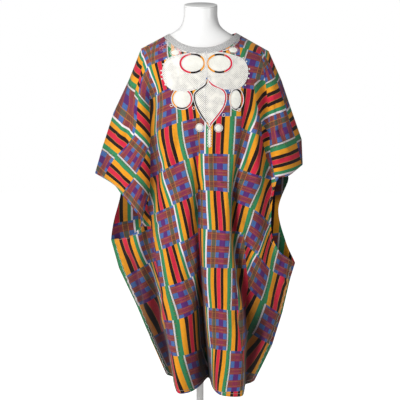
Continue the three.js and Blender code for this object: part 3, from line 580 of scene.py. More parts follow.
def new_group(name, inputs, outputs):
    """An empty shader group with its sockets: (name, kind, default) in, (name, kind) out."""
    group = bpy.data.node_groups.new(name, "ShaderNodeTree")
    for socket_name, kind, default in inputs:
        socket = group.interface.new_socket(socket_name, in_out="INPUT", socket_type=kind)
        socket.default_value = default
    for socket_name, kind in outputs:
        group.interface.new_socket(socket_name, in_out="OUTPUT", socket_type=kind)
    n = Nodes(group)
    return n, n.add("NodeGroupInput").outputs, n.add("NodeGroupOutput")


FLOAT, VECTOR, COLOUR = "NodeSocketFloat", "NodeSocketVector", "NodeSocketColor"

# ---- the print -----------------------------------------------------------------------------------
# The print is a checkerboard of striped and plaid blocks. Places across and down a block are shares.
BLOCK_WIDTH = 112.0
BLOCK_HEIGHT = 131.0
BLOCK_START = (8.0, 38.0)  # the first block's corner on the flat cloth
INKS = {
    "white": "#f6ecf0", "green": "#34905e", "yellow": "#f8a41e", "black": "#190f0c",
    "red": "#de2644", "gold": "#d28a40", "blue": "#4f7dc4", "olive": "#686e5a",
    "purple": "#653084", "maroon": "#9a4349", "brown": "#7f4e3d", "plum": "#a03a58",
}
# Across a block, from its white side: the next block is the mirror image of this one.
STRIPES = (
    (0.0, "white"), (0.055, "green"), (0.165, "yellow"), (0.30, "black"), (0.412, "gold"),
    (0.424, "red"), (0.586, "gold"), (0.598, "black"), (0.715, "yellow"), (0.888, "green"),
)
BLUE_ROW = (
    (0.0, "blue"), (0.16, "gold"), (0.178, "olive"), (0.322, "gold"), (0.34, "blue"), (0.475, "purple"),
    (0.70, "blue"), (0.86, "olive"), (0.885, "white"), (0.935, "green"),
)
RED_ROW = (
    (0.0, "maroon"), (0.16, "gold"), (0.178, "brown"), (0.322, "gold"), (0.34, "maroon"),
    (0.475, "plum"), (0.70, "maroon"), (0.86, "brown"), (0.885, "white"), (0.935, "green"),
)
# Down a plaid block: 1 where a red row lies, and 1 where a fine gold line lies, which is thin ink.
ROWS_DOWN = ((0.0, 0), (0.055, 1), (0.255, 0), (0.415, 1), (0.585, 0), (0.725, 1), (0.905, 0))
LINES_DOWN = (
    (0.0, 0), (0.085, 1), (0.105, 0), (0.215, 1), (0.23, 0), (0.455, 1), (0.475, 0), (0.54, 1),
    (0.555, 0), (0.745, 1), (0.765, 0), (0.86, 1), (0.88, 0),
)
LINE_SHARE = 0.38
# Dark yarns that show through: how many to a block, where their dark starts and is full, their colour,
# their strength across and down, and the share of it that striped blocks keep.
YARNS = 46.0
YARN_STOPS = (0.42, 0.66)
YARN_COLOUR = "#3a1c22"
YARN_STRENGTH = (0.44, 0.40)
YARNS_ON_STRIPES = 0.25


def print_group(settings):
    """Colour of the print at a point of the flat cloth.

    The point is moved a little by noise, as ink bleeds, and counted in blocks. The parity of the sum of
    its whole parts says striped or plaid. The place across a block runs up and down again from one block
    to the next, so that they mirror.
    """
    n, given, made = new_group(
        "Checkerboard print",
        (("Cloth", VECTOR, (0, 0, 0)), ("Block Width", FLOAT, settings.block_width),
         ("Block Height", FLOAT, settings.block_height), ("Bleed", FLOAT, 0.00025)),
        (("Color", COLOUR),))
    wander = n.noise(given["Cloth"], scale=260.0, detail=2.0).outputs["Color"]
    wander = n.vector("SCALE", n.vector("SUBTRACT", wander, (0.5, 0.5, 0.5)), given["Bleed"])
    split = n.add("ShaderNodeSeparateXYZ", {0: n.vector("ADD", given["Cloth"], wander)}).outputs
    across = n.math("DIVIDE", n.math("SUBTRACT", split[0], BLOCK_START[0] * MM), given["Block Width"])
    down = n.math("DIVIDE", n.math("SUBTRACT", split[1], BLOCK_START[1] * MM), given["Block Height"])
    u, v = n.math("PINGPONG", across, 1.0), n.math("FRACT", down)
    blocks = n.math("ADD", n.math("FLOOR", across), n.math("FLOOR", down))
    plaid = n.math("GREATER_THAN", n.math("FRACT", n.math("MULTIPLY", blocks, 0.5)), 0.25)

    def inks(value, stops):
        return n.ramp(value, [(at, getattr(settings, ink)) for at, ink in stops], "CONSTANT")

    def steps(value, stops):
        return n.ramp(value, [(at, grey(level)) for at, level in stops], "CONSTANT")

    rows = n.blend(steps(v, ROWS_DOWN), inks(u, BLUE_ROW), inks(u, RED_ROW))
    fine = n.math("MULTIPLY", steps(v, LINES_DOWN), LINE_SHARE)
    rows = n.blend(fine, rows, settings.gold)
    shade = n.blend(plaid, inks(u, STRIPES), rows)
    for value, strength in zip((across, down), YARN_STRENGTH):
        place = n.math("MULTIPLY", value, YARNS)
        yarns = n.add("ShaderNodeTexNoise", {"W": place, "Detail": 1.0}, noise_dimensions="1D")
        dark = n.ramp(yarns.outputs["Fac"], [(YARN_STOPS[0], grey(0)), (YARN_STOPS[1], grey(1))])
        kept = n.math("MULTIPLY_ADD", plaid, 1 - YARNS_ON_STRIPES, YARNS_ON_STRIPES)
        part = n.math("MULTIPLY", dark, kept)
        shade = n.blend(n.math("MULTIPLY", part, strength), shade, colour(YARN_COLOUR))
    n.fill(made, {"Color": shade})


def weave_group():
    """Height of a plain weave, and the slubs in its threads.

    The height is the sine of the place across times the sine of the place down, each turned by half a
    wave for a thread's width, so that warp and weft pass over and under in turn.
    """
    n, given, made = new_group(
        "Plain weave",
        (("Cloth", VECTOR, (0, 0, 0)), ("Thread", FLOAT, 0.0007)),
        (("Height", FLOAT), ("Slub", FLOAT)))
    split = n.add("ShaderNodeSeparateXYZ", {0: given["Cloth"]}).outputs
    turn = n.math("DIVIDE", math.pi, given["Thread"])
    a, b = (n.math("SINE", n.math("MULTIPLY", split[axis], turn)) for axis in (0, 1))
    over = n.math("MULTIPLY_ADD", n.math("MULTIPLY", a, b), 0.5, 0.5)
    slub = n.noise(given["Cloth"], scale=90.0, detail=4.0).outputs["Fac"]
    n.fill(made, {"Height": over, "Slub": slub})


def wrinkle_group():
    """Height of the cloth's fine wrinkles: a large noise drawn out down the cloth, and a small one."""
    n, given, made = new_group("Fine wrinkles", (("Cloth", VECTOR, (0, 0, 0)),), (("Height", FLOAT),))
    drawn = n.add("ShaderNodeMapping", {"Vector": given["Cloth"], "Scale": (1.0, 0.36, 1.0)}).outputs[0]
    wide = n.noise(drawn, scale=26.0, detail=1.5, Distortion=0.7).outputs["Fac"]
    narrow = n.noise(given["Cloth"], scale=75.0, detail=2.0).outputs["Fac"]
    n.fill(made, {"Height": n.math("MULTIPLY_ADD", narrow, 0.22, wide)})


def new_material(name):
    """A material with a Principled shader; returns it, its node helper and the shader."""
    material = bpy.data.materials.new(name)
    material.use_nodes = True
    material.node_tree.nodes.clear()
    n = Nodes(material.node_tree)
    shader = n.add("ShaderNodeBsdfPrincipled")
    n.add("ShaderNodeOutputMaterial", {0: shader.outputs[0]})
    return material, n, shader


PAINTED_SHADE_TINT = "#74666e"  # painted shade: the print is multiplied by this deep between folds and in the cuffs' openings


def cotton_material():
    """Printed cotton: the print on a plain weave, matt with a little sheen, with painted shade in its
    hollows.
    """
    material, n, shader = new_material("printed cotton")
    cloth = n.add("ShaderNodeUVMap", uv_map="cloth").outputs[0]
    printed = n.group("Checkerboard print", {"Cloth": cloth}).outputs["Color"]
    weave = n.group("Plain weave", {"Cloth": cloth}).outputs
    tone = n.ramp(weave["Slub"], [(0.3, grey(0.9)), (0.7, grey(1))])
    shade = n.blend(1.0, printed, tone, "MULTIPLY")
    # painted shade: darker between the folds, and on the back's inner faces in the cuffs' openings
    hollow = n.add("ShaderNodeAttribute", attribute_name="hollow").outputs["Fac"]
    inside = n.add("ShaderNodeAttribute", attribute_name="inside").outputs["Fac"]
    facing = n.add("ShaderNodeSeparateXYZ", {0: n.add("ShaderNodeNewGeometry").outputs["True Normal"]})
    inner = n.math("LESS_THAN", facing.outputs["Y"], 0.0)
    hollow = n.math("MAXIMUM", hollow, n.math("MULTIPLY", inside, inner))
    threads = n.bump(weave["Height"], strength=0.25, distance=0.0002)
    rumple = n.group("Fine wrinkles", {"Cloth": cloth}).outputs["Height"]
    n.fill(shader, {
        "Base Color": n.blend(hollow, shade, colour(PAINTED_SHADE_TINT), "MULTIPLY"),
        "Normal": n.bump(rumple, strength=0.9, distance=0.0045, Normal=threads),
        "Roughness": 0.82, "Sheen Weight": 0.12, "Specular IOR Level": 0.25})
    return material


def thread_material(name, shade, gap, pitch):
    """Embroidery thread: light stitches in offset rows, pitch millimetres apart, with painted shade in
    the gaps.
    """
    material, n, shader = new_material(name)
    cloth = n.add("ShaderNodeUVMap", uv_map="cloth").outputs[0]
    height = n.group("Plain weave", {"Cloth": cloth, "Thread": pitch * MM}).outputs["Height"]
    # painted shade in the low gaps between the stitches, strong in some patches and faint in others
    patchy = n.noise(cloth, scale=38.0, detail=2.0).outputs["Fac"]
    patchy_gap_shade = n.ramp(patchy, [(0.35, grey(0.15)), (0.62, grey(1))])
    gaps = n.math("MULTIPLY", n.ramp(height, [(0.16, grey(1)), (0.52, grey(0))]), patchy_gap_shade)
    n.fill(shader, {
        "Base Color": n.blend(gaps, shade, colour(gap)),
        "Normal": n.bump(height, strength=0.6, distance=0.0006),
        "Roughness": 0.48, "Sheen Weight": 0.1})
    return material


def band_material():
    """The neck band: rows of short light stitches with painted shade in the gaps, shifted by half from
    row to row.
    """
    material, n, shader = new_material("banded chain")
    split = n.add("ShaderNodeSeparateXYZ", {0: n.add("ShaderNodeUVMap", uv_map="cloth").outputs[0]})
    row = n.math("MULTIPLY", split.outputs[1], 1 / (BAND_ROW * MM))
    along = n.math("MULTIPLY", split.outputs[0], 1 / (BAND_STITCH * MM))
    along = n.math("MULTIPLY_ADD", n.math("FLOOR", row), 0.5, along)
    across, length = n.math("PINGPONG", row, 0.5), n.math("PINGPONG", along, 0.5)
    within = (n.math("GREATER_THAN", part, gap) for part, gap in ((across, 0.12), (length, 0.13)))
    stitch = n.math("MULTIPLY", *within)
    n.fill(shader, {
        # the dark grey between the stitches is painted shade
        "Base Color": n.blend(stitch, colour("#727277"), colour("#e2e1de")),
        "Normal": n.bump(stitch, strength=0.6, distance=0.0006), "Roughness": 0.5})
    return material


def plain_material(name, shade, roughness, coat):
    """A smooth painted or lacquered finish with a faint unevenness."""
    material, n, shader = new_material(name)
    place = n.add("ShaderNodeTexCoord").outputs["Object"]
    noise = n.noise(place, scale=14.0, detail=3.0).outputs["Fac"]
    darker = (*(part * 0.94 for part in shade[:3]), 1)
    n.fill(shader, {
        "Base Color": n.ramp(noise, [(0.3, darker), (0.7, shade)]), "Roughness": roughness,
        "Coat Weight": coat})
    return material


def surface(name):
    """The named material, made the first time that it is asked for."""
    settings = bpy.context.scene.kaftan
    if name in bpy.data.materials:
        return bpy.data.materials[name]
    if "Checkerboard print" not in bpy.data.node_groups:
        print_group(settings)
        weave_group()
        wrinkle_group()
    if name == "printed cotton":
        return cotton_material()
    if name == "banded chain":
        return band_material()
    threads = {                        # colour, colour of the painted shade in the gaps, and pitch of the stitches
        "chain stitch": (settings.thread, "#5f6066", 3.1),
        "satin stitch": (settings.satin, "#d3d1c4", 0.9),
        "couched cord": (settings.cord, "#a9a7a2", 1.7),
        "rose cord": (colour("#c98a9c"), "#8a5a68", 1.7),
        "hem thread": (colour("#bdaca8"), "#6e5a58", 1.7),
    }
    if name in threads:
        return thread_material(name, *threads[name])
    finishes = {                       # colour, roughness, and clear coat
        "white lacquer": (settings.lacquer, 0.35, 0.4),
        "white enamel": (settings.enamel, 0.4, 0.2),
    }
    return plain_material(name, *finishes[name])


# ---- the cloth -----------------------------------------------------------------------------------
CLOTH_THICKNESS = 1.2
ROW_STEP = 5.5         # height from one row of the mesh to the next
PAINTED_SHADE_SLOPE = 0.45    # painted shade darkens what lies behind a fold, past a line that falls by this from its ridge,
PAINTED_SHADE_FULL = 42.0     # and fully where it lies this deep,
PAINTED_SHADE_COLUMNS = 34    # within this many columns of the mesh
PLATE_GIVE = 0.15      # how far the plate may miss a known point, so that the corners stay square
PLATE_UNIT = 100.0     # the plate counts its lengths in these
FACING = 0.25          # least share of a step along the face that shows where it faces the eye
SLOPES = (0.9, 1.5)    # least and greatest length on the face for a step that shows

# Corners of the print's blocks where they show on the front, in segments that the deep folds divide.
# Each is (block number across, block number down, x, z) on the upright plane through the garment's
# middle, seen from the front at EYE. A segment starts with the fold from which its lengths count.
SEGMENTS = {
    "left sleeve": (0, (
        (-2, -1, -197, 1378), (-2, -0.4, -190, 1348), (-3, -0.5, -240, 1268), (-3, -0.1, -207, 1242),
        (-4, -0.65, -291, 1155), (-4, 0, -222, 1097), (-5, -0.45, -325, 1052), (-5, 0, -279, 1017),
        (-5, 1, -217, 948), (-6, 0, -325, 930), (-4.6, -0.53, -312, 1092),
    )),
    "left sleeve inside": (1, (
        (-2, -1, -197, 1378), (-1, -1, -107, 1405), (-2, 0, -172, 1315), (-1, 0, -98, 1340),
        (-2, 0.6, -145, 1240), (-3, 0, -202, 1215), (-3, 0.6, -156, 1165), (-4, 0, -215, 1085),
        (-4, 1, -174, 1043), (-5, 0, -279, 1017), (-5, 1, -217, 948), (-5, 2, -170, 893),
        (-6, 0, -325, 930), (-6, 1, -265, 885), (-6, 1.35, -240, 848), (-6, 2, -197, 793),
        (-5, -0.45, -325, 1052), (-4.6, -0.53, -312, 1092),
    )),
    "left wing": (1, (
        (-5, 5, -300, 735), (-5, 6, -258, 602), (-5, 7, -218, 500), (-5, 8, -165, 392),
        (-5, 9, -118, 285), (-4, 5, -210, 752), (-4, 6, -176, 652), (-4, 7, -137, 545),
        (-4, 8, -88, 440), (-4, 9, -66, 322), (-3, 6, -130, 668),
    )),
    "left body": (5, (
        (-2, 0, -172, 1315), (-1, 0, -98, 1340), (-2, 1, -141, 1222), (-1, 1, -84, 1250),
        (-2, 2, -146, 1093), (-1, 2, -67, 1130), (0, 2, 12, 1148), (-2, 3, -128, 966),
        (-1, 3, -44, 1008), (0, 3, 25, 1025), (-3, 4, -152, 823), (-2, 4, -92, 851), (-1, 4, -20, 887),
        (-3, 5, -132, 698), (-2, 5, -68, 724), (-1, 5, 2, 762), (-3, 6, -114, 572), (-2, 6, -31, 604),
        (-1, 6, 22, 640), (-3, 7, -84, 452), (-2, 7, -3, 497), (-1, 7, 50, 500), (-3, 8, -65, 325),
        (-2, 8, 5, 350), (-2, 8.6, 34, 270), (-3, 9, -28, 203),
    )),
    "centre": (9, (
        (0, 2, 15, 1150), (0, 3, 14, 1025), (0, 4, 20, 902), (0, 5, 26, 769), (0, 6, 23, 636),
        (0, 7, 31, 497), (0, 8, 38, 353), (0, 9, 40, 200), (1, 2, 110, 1150), (1, 3, 103, 1023),
        (1, 4, 100, 896), (1, 5, 105, 762), (1, 6, 101, 635), (1, 7, 98, 487), (1, 8, 97, 344),
        (1, 9, 82, 197), (-1, 3, -80, 1020), (-1, 5, -66, 765), (-1, 7, -60, 490), (2, 3.5, 165, 950),
        (2, 8, 165, 338),
    )),
    "right fold": (11, (
        (2, 5, 133, 750), (2, 6, 116, 632), (2, 7, 116, 490), (2, 8, 115, 340), (1, 5, 37, 760),
        (1, 6, 20, 632), (3, 5, 228, 745), (3, 6, 205, 640), (3, 7, 200, 490), (3, 8, 200, 345),
    )),
    "right body": (14, (
        (1, 1, 118, 1245), (2, 1, 200, 1235), (1, 2, 113, 1128), (2, 2, 167, 1097), (3, 2, 258, 1062),
        (2, 3, 130, 975), (3, 3, 212, 945), (4, 3, 285, 912), (2, 4, 105, 870), (3, 4, 172, 842),
        (4, 4, 238, 788), (3, 5, 140, 720), (4, 5, 193, 684), (5, 5, 243, 625), (4, 6, 147, 590),
        (5, 6, 214, 516), (6, 6, 285, 465), (5, 7, 174, 408), (6, 7, 250, 362), (5, 8, 122, 290),
        (6, 8, 205, 255), (5, 4, 273, 743), (6, 4, 343, 703), (6, 5, 314, 592),
    )),
    "right fold-over": (15, (
        (3, 0, 178, 1238), (3, -0.35, 198, 1258), (3.5, 0, 189, 1168), (3.5, -0.3, 215, 1203),
        (4, 0, 203, 1128), (4, -0.2, 222, 1143), (4.5, 0.2, 207, 1083), (4.5, 0.1, 222, 1088),
        (5, 0.05, 225, 1040),
    )),
    "right sleeve": (17, (
        (1, -1, 135, 1418), (1, 0, 140, 1338), (2, -1, 210, 1348), (2, 0, 186, 1318),
        (3, -1, 249, 1268), (4, -1, 286, 1170), (5, -1, 320, 1072), (6, -1, 345, 975),
        (3, 0, 200, 1245), (4, 0, 222, 1145), (5, 0, 232, 1038), (6, 0, 250, 948),
    )),
}
# Which segment each zone of the front's mesh shows, from the height given down.
ZONE_SEGMENTS = (
    (("left sleeve", 1500), ("left sleeve inside", 1095), ("left wing", 780)),
    (("left sleeve inside", 1500), ("left wing", 780)),
    (("left body", 1500),),
    (("centre", 1500),),
    (("right body", 1500), ("right fold", 760)),
    (("right body", 1500),),
    (("right sleeve", 1500), ("right body", 875)),
)
# The line past which the fold-over shows: x as seen from the front, at each of the heights, in one zone.
FOLD_OVER_ZONE = 5
FOLD_OVER_Z = (980, 1010, 1040, 1080, 1120, 1160, 1196, 1230, 1260)
FOLD_OVER_X = (235, 222, 215, 206, 204, 196, 186, 180, 178)
BACK_RIDGE = 5         # the fold from which the back's lengths count,
BACK_RIDGE_PLACE = 60.0        # and its place across the flat cloth
BACK_PRINT_TOP = 1400.0        # height at which places down the back's flat cloth start
BACK_PRINT_LEAN = 0.16         # how much the back's print rises with x


def seen_place(points):
    """Where points show on the plane y = 0 from the eye: moved along their sight lines."""
    eye_y, eye_z = EYE[1] / MM, EYE[2] / MM
    scale = -eye_y / (points[..., 1] - eye_y)
    return points[..., 0] * scale, eye_z + (points[..., 2] - eye_z) * scale


def bent_plate(known, values):
    """A smooth map through known points: a plane plus r^2 log r round each one, solved at once."""

    def kernel(a, b):
        r2 = ((a[:, None] - b[None]) ** 2).sum(axis=-1)
        return 0.5 * r2 * np.log(np.maximum(r2, 1e-9))

    count = len(known)
    plane = np.concatenate([np.ones((count, 1)), known], axis=1)
    bend = kernel(known, known) + PLATE_GIVE * np.eye(count)
    left = np.block([[bend, plane], [plane.T, np.zeros((3, 3))]])
    weights = np.linalg.solve(left, np.concatenate([values, np.zeros((3, values.shape[1]))]))
    return lambda p: kernel(p, known) @ weights[:count] + weights[count] + p @ weights[count + 1:]


def down_length(points):
    """Height of each point, and over the form the length up its column in place of it."""
    step = np.hypot(np.diff(points[..., 1], axis=0), np.diff(points[..., 2], axis=0))
    step = np.where(points[1:, :, 2] > DOME_END, step, points[:-1, :, 2] - points[1:, :, 2])
    total = np.concatenate([np.zeros((1, points.shape[1])), np.cumsum(step, axis=0)])
    return points[-1:, :, 2] + total[-1:] - total


def segment_place(points, s, t, columns, key):
    """Place on the flat cloth of every point, as one segment has it.

    The segment's block corners are found on the face: the nearest point that faces the eye, moved on by
    what is left over. A bent plate through them then maps lengths to places on the flat cloth.
    """
    x, z = seen_place(points)
    corners = np.array(SEGMENTS[key][1], float)
    turned = np.gradient(x, axis=1) > FACING * np.gradient(s, axis=1)
    near = np.hypot(x[..., None] - corners[:, 2], z[..., None] - corners[:, 3])
    near = np.where((turned & columns)[..., None], near, 1e9).reshape(-1, len(corners)).argmin(axis=0)
    rest_x = corners[:, 2] - x.ravel()[near]
    rest_z = corners[:, 3] - z.ravel()[near]
    rate = (np.gradient(s, axis=1) / np.maximum(np.gradient(x, axis=1), 1e-6)).ravel()[near]
    known_s = s.ravel()[near] + rest_x * np.clip(rate, *SLOPES)
    known = np.stack([known_s, t.ravel()[near] + rest_z], axis=-1)
    flat = np.array(BLOCK_START) + corners[:, :2] * np.array([BLOCK_WIDTH, BLOCK_HEIGHT])
    shape = bent_plate(known / PLATE_UNIT, flat)
    return shape(np.stack([s, t], axis=-1).reshape(-1, 2) / PLATE_UNIT).reshape(*s.shape, 2)


def quad_corners(values):
    """Values at the points as four for each quad, in the order of grid_faces."""
    return np.stack([values[:-1, :-1], values[1:, :-1], values[1:, 1:], values[:-1, 1:]], axis=2)


def front_print(points, s, folds):
    """Places on the flat cloth for the corners of the front's quads, segment by segment."""
    t = down_length(points)
    x, z = seen_place(points)
    middle_x = quad_corners(x).mean(axis=2)
    middle_z = quad_corners(z).mean(axis=2)
    zone = np.repeat(np.arange(len(FRONT.zones)), [count for _, count in FRONT.zones])
    chosen = np.zeros(middle_x.shape, int)
    names = list(SEGMENTS)
    for k, parts in enumerate(ZONE_SEGMENTS):
        for name, top in parts:
            chosen[(zone[None, :] == k) & (middle_z < top)] = names.index(name)
    over = (zone[None, :] == FOLD_OVER_ZONE) & (middle_x > np.interp(middle_z, FOLD_OVER_Z, FOLD_OVER_X))
    over &= (middle_z > FOLD_OVER_Z[0]) & (middle_z < FOLD_OVER_Z[-1] + 10)
    chosen[over] = names.index("right fold-over")
    uv = np.zeros((*middle_x.shape, 4, 2))
    for index, name in enumerate(names):
        mine = chosen == index
        columns = np.zeros(s.shape, bool)
        columns[:, :-1] |= mine.any(axis=0)[None, :]
        columns[:, 1:] |= mine.any(axis=0)[None, :]
        place = segment_place(points, s - folds[:, SEGMENTS[name][0]][:, None], t, columns, name)
        uv = np.where(mine[..., None, None], quad_corners(place), uv)
    return uv


def back_print(points, s, folds):
    """Places on the flat cloth for the corners of the back's quads: lengths from its middle ridge."""
    t = down_length(points)
    across = s - folds[:, BACK_RIDGE, None]
    down = BACK_PRINT_TOP - t + BACK_PRINT_LEAN * across
    return quad_corners(np.stack([across + BACK_RIDGE_PLACE, down], axis=-1))


def closed_edges(panel, points, v):
    """The face with one more row and column round it.

    At the shoulder folds and side seams it reaches the middle plane, where the other panel meets it; at
    the neck hole and the cuffs it turns in by the cloth's thickness.
    """
    closed = np.interp(v, np.arange(len(EDGES)), EDGE_TABLE[:, CLOSED]) > 0.999

    def side(column):
        out = column.copy()
        out[:, 1] = np.where(closed, 0.0, column[:, 1] - panel.sign * CLOTH_THICKNESS)
        return out[:, None]

    points = np.concatenate([side(points[:, 0]), points, side(points[:, -1])], axis=1)
    top = points[0].copy()
    over = np.abs(top[:, 1]) < EDGE_OFFSET + 0.5       # on the shoulder folds the dome has no depth
    top[:, 1] = np.where(over, 0.0, top[:, 1] - panel.sign * CLOTH_THICKNESS)
    top[0, 1] = top[-1, 1] = 0.0
    return np.concatenate([top[None], points], axis=0)


def painted_shade_share(points, sign):
    """How deep each point lies between the folds beside it, from 0 to 1: its share of painted shade.

    On each side it is the most that a neighbour in the row stands out past a line that rises by
    PAINTED_SHADE_SLOPE of the distance; the two sides' mean over PAINTED_SHADE_FULL gives the share.
    """
    out, x = points[..., 1] * sign, points[..., 0]
    left, right = np.zeros_like(out), np.zeros_like(out)
    for k in range(1, PAINTED_SHADE_COLUMNS):
        rise = out[:, :-k] - out[:, k:]
        reach = PAINTED_SHADE_SLOPE * np.abs(x[:, k:] - x[:, :-k])
        left[:, k:] = np.maximum(left[:, k:], rise - reach)
        right[:, :-k] = np.maximum(right[:, :-k], -rise - reach)
    return smooth((left + right) / 2 / PAINTED_SHADE_FULL)


CUFF_OPENING_SHADES = (            # painted shade where the cuffs open on the back's inner side: x, z, reach and share of the shade
    (-245.0, 845.0, 95.0, 0.62),
    (262.0, 925.0, 85.0, 0.92),
)


def cuff_opening_shade(points):
    """How far each point of the back lies in the painted shade of a cuff's opening, from 0 to 1."""
    share = np.zeros(points.shape[:2])
    for x, z, reach, most in CUFF_OPENING_SHADES:
        away = np.hypot(points[..., 0] - x, points[..., 2] - z) / reach
        share = np.maximum(share, most * smooth(2.0 * (1.0 - away)))
    return share


# Lines of topstitching along a panel's sides: from and to which row of EDGES, distance in from the edge,
# and height of the line's waves. The first runs along the side seam, and the second round the cuff.
SIDE_LINES = ((9.15, 13.0, 17.0, 1.6), (4.1, 8.9, 9.0, 0.0))
WAVE_TURN = 0.9        # how far the waves turn from one point to the next
HEM_ROWS = 3.0         # rows of the mesh from the hem's edge up to its line
THREAD = (0.30, 0.62)  # least and greatest radius of the thread
THREAD_LIFT = 0.25
STITCH = 4.2


def add_stitching(name, points, v, panel):
    """Topstitching: a wavy line inside each side seam, and a straight one above the hem and the cuffs.

    Each runs along the face a set distance in from its edge.
    """
    normal = grid_normals(points, np.array([0.0, panel.sign, 0.0]))
    columns = points.shape[1]
    from_left = run_lengths(points)
    from_right = (from_left[:, -1:] - from_left)[:, ::-1]
    lines, hems = [], []
    sides = ((from_left, points, normal), (from_right, points[:, ::-1], normal[:, ::-1]))
    for distance, face, up in sides:
        for first, last, inset, wave in SIDE_LINES:
            rows = np.flatnonzero((v > first) & (v < last))
            dense = np.linspace(rows[0], rows[-1], len(rows) * 4)
            k = np.arange(len(dense))
            want = inset + wave * np.sin(k * WAVE_TURN)
            away = distance[dense.astype(int)]
            i = np.clip((away <= want[:, None]).sum(axis=1) - 1, 0, columns - 2)
            near = i + (want - away[k, i]) / (away[k, i + 1] - away[k, i])
            (lines if wave else hems).append(stitch_line(face, up, dense, near))
    along = np.linspace(3, columns - 4, columns * 3)
    hems.append(stitch_line(points, normal, np.full(len(along), len(v) - HEM_ROWS), along))
    add_tubes(name + "_seams", lines, "couched cord", sides=5)
    add_tubes(name + "_hems", hems, "hem thread", sides=5)


def stitch_line(face, up, rows, columns):
    """A thread over the face through fractional rows and columns, swelling with each stitch."""
    i = np.clip(rows.astype(int), 0, face.shape[0] - 2)
    j = np.clip(columns.astype(int), 0, face.shape[1] - 2)
    p, q = (rows - i)[:, None], (columns - j)[:, None]

    def at(grid):
        return mix(mix(grid[i, j], grid[i, j + 1], q), mix(grid[i + 1, j], grid[i + 1, j + 1], q), p)

    axis, normal = at(face), unit(at(up))
    swell = np.abs(np.sin(np.pi * run_lengths(axis) / STITCH))
    return axis + THREAD_LIFT * normal, normal, False, mix(*THREAD, swell)


def add_share(piece, name, share):
    """Keeps a share of every point of a piece under a name, for its material."""
    layer = piece.data.attributes.new(name, "FLOAT", "POINT")
    layer.data.foreach_set("value", share.ravel().astype(np.float32))


def add_cloth(settings, name, panel, node):
    """One panel of cloth as a thin shell whose outer face is the panel's, with its topstitching."""
    v = row_numbers(ROW_STEP)
    points, s, folds = panel_surface(panel, v)
    if panel.sign < 0:
        uv = front_print(points, s, folds)
        points = creased(points, s, *seen_place(points), FRONT_CREASES, settings.crease_share)
    else:
        uv = back_print(points, s, folds)
        points = creased(points, s, points[..., 0], points[..., 2], BACK_CREASES, settings.crease_share)
    add_stitching(name.split("_")[0] + "_stitching", points, v, panel)
    # painted shade between the folds, kept on the points for the material
    hollow = np.pad(painted_shade_share(points, panel.sign), ((1, 0), (1, 1)), mode="edge")
    points = closed_edges(panel, points, v)
    faces = grid_faces(*points.shape[:2], flip=panel.sign > 0)
    uv = np.pad(uv, ((1, 0), (1, 1), (0, 0), (0, 0)), mode="edge")
    uv = uv[:, :, ::-1] if panel.sign > 0 else uv
    piece = make_object(name, points, faces, surface("printed cotton"), uv.reshape(-1, 2) * MM)
    add_share(piece, "hollow", hollow)
    # painted shade in the cuffs' openings, on the back's inner side
    if panel.sign > 0:
        add_share(piece, "inside", cuff_opening_shade(points))
    wall = piece.modifiers.new("wall", "SOLIDIFY")
    wall.thickness = settings.cloth_thickness
    wall.offset = -1
    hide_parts(node)


# ---- the neck trim and embroidery ----------------------------------------------------------------
class ClothMap:
    """Depth of the front's face over the neck and chest on an even grid, for what is sewn on it."""

    STEP = 2.0

    def __init__(self):
        self.x = np.arange(-190.0, 231.0, self.STEP)
        self.z = np.arange(1000.0, 1425.0, self.STEP)
        points, _, _ = panel_surface(FRONT, row_numbers(4.0)[:120])
        rows_y = np.array([np.interp(self.x, row[:, 0], row[:, 1]) for row in points])
        rows_z = np.array([np.interp(self.x, row[:, 0], row[:, 2]) for row in points])
        columns = [np.interp(self.z, rows_z[::-1, j], rows_y[::-1, j]) for j in range(len(self.x))]
        self.y = np.array(columns).T
        self.slope_z, self.slope_x = np.gradient(self.y, self.z, self.x)

    def sample(self, table, x, z):
        """Value of a table at x, z, linear between its four nearest points."""
        fx = np.clip((x - self.x[0]) / self.STEP, 0, len(self.x) - 1.001)
        fz = np.clip((z - self.z[0]) / self.STEP, 0, len(self.z) - 1.001)
        i, j = fx.astype(int), fz.astype(int)
        p, q = fx - i, fz - j
        low = mix(table[j, i], table[j, i + 1], p)
        return mix(low, mix(table[j + 1, i], table[j + 1, i + 1], p), q)

    def normal(self, x, z):
        """Unit normals of the face at x, z: (slope across, -1, slope up) over its length."""
        slope_x, slope_z = self.sample(self.slope_x, x, z), self.sample(self.slope_z, x, z)
        return unit(np.stack([slope_x, -np.ones_like(x), slope_z], axis=-1))

    def place(self, x, z, lift):
        """Points of the face at x, z, moved out along its normal by lift."""
        point = np.stack([x, self.sample(self.y, x, z), z], axis=-1)
        return point + np.broadcast_to(lift, x.shape)[..., None] * self.normal(x, z)


def ellipse(x, z, w, h, sides=72):
    """Outline of an oval with half sizes w and h round x, z."""
    t = 2 * np.pi * np.arange(sides) / sides
    return np.stack([x + w * np.cos(t), z + h * np.sin(t)], axis=-1)


def curve(points, closed, count=120):
    """A smooth line through given points: a cubic between each two, sloped by their neighbours."""
    p = np.array(points, float)
    n = len(p)
    spans = n if closed else n - 1
    v = np.arange(count) / count * spans if closed else np.linspace(0, spans, count)
    k = np.minimum(np.floor(v).astype(int), spans - 1)

    def at(i):
        return p[i % n] if closed else p[np.clip(i, 0, n - 1)]

    slope_a, slope_b = (at(k + 1) - at(k - 1)) / 2, (at(k + 2) - at(k)) / 2
    return cubic(at(k), at(k + 1), slope_a, slope_b, (v - k)[:, None])


def turns_back(outline):
    """Whether a closed outline runs clockwise: the sum of its edges' cross products is below 0."""
    ahead = np.roll(outline, -1, axis=0)
    return (outline[:, 0] * ahead[:, 1] - ahead[:, 0] * outline[:, 1]).sum() < 0


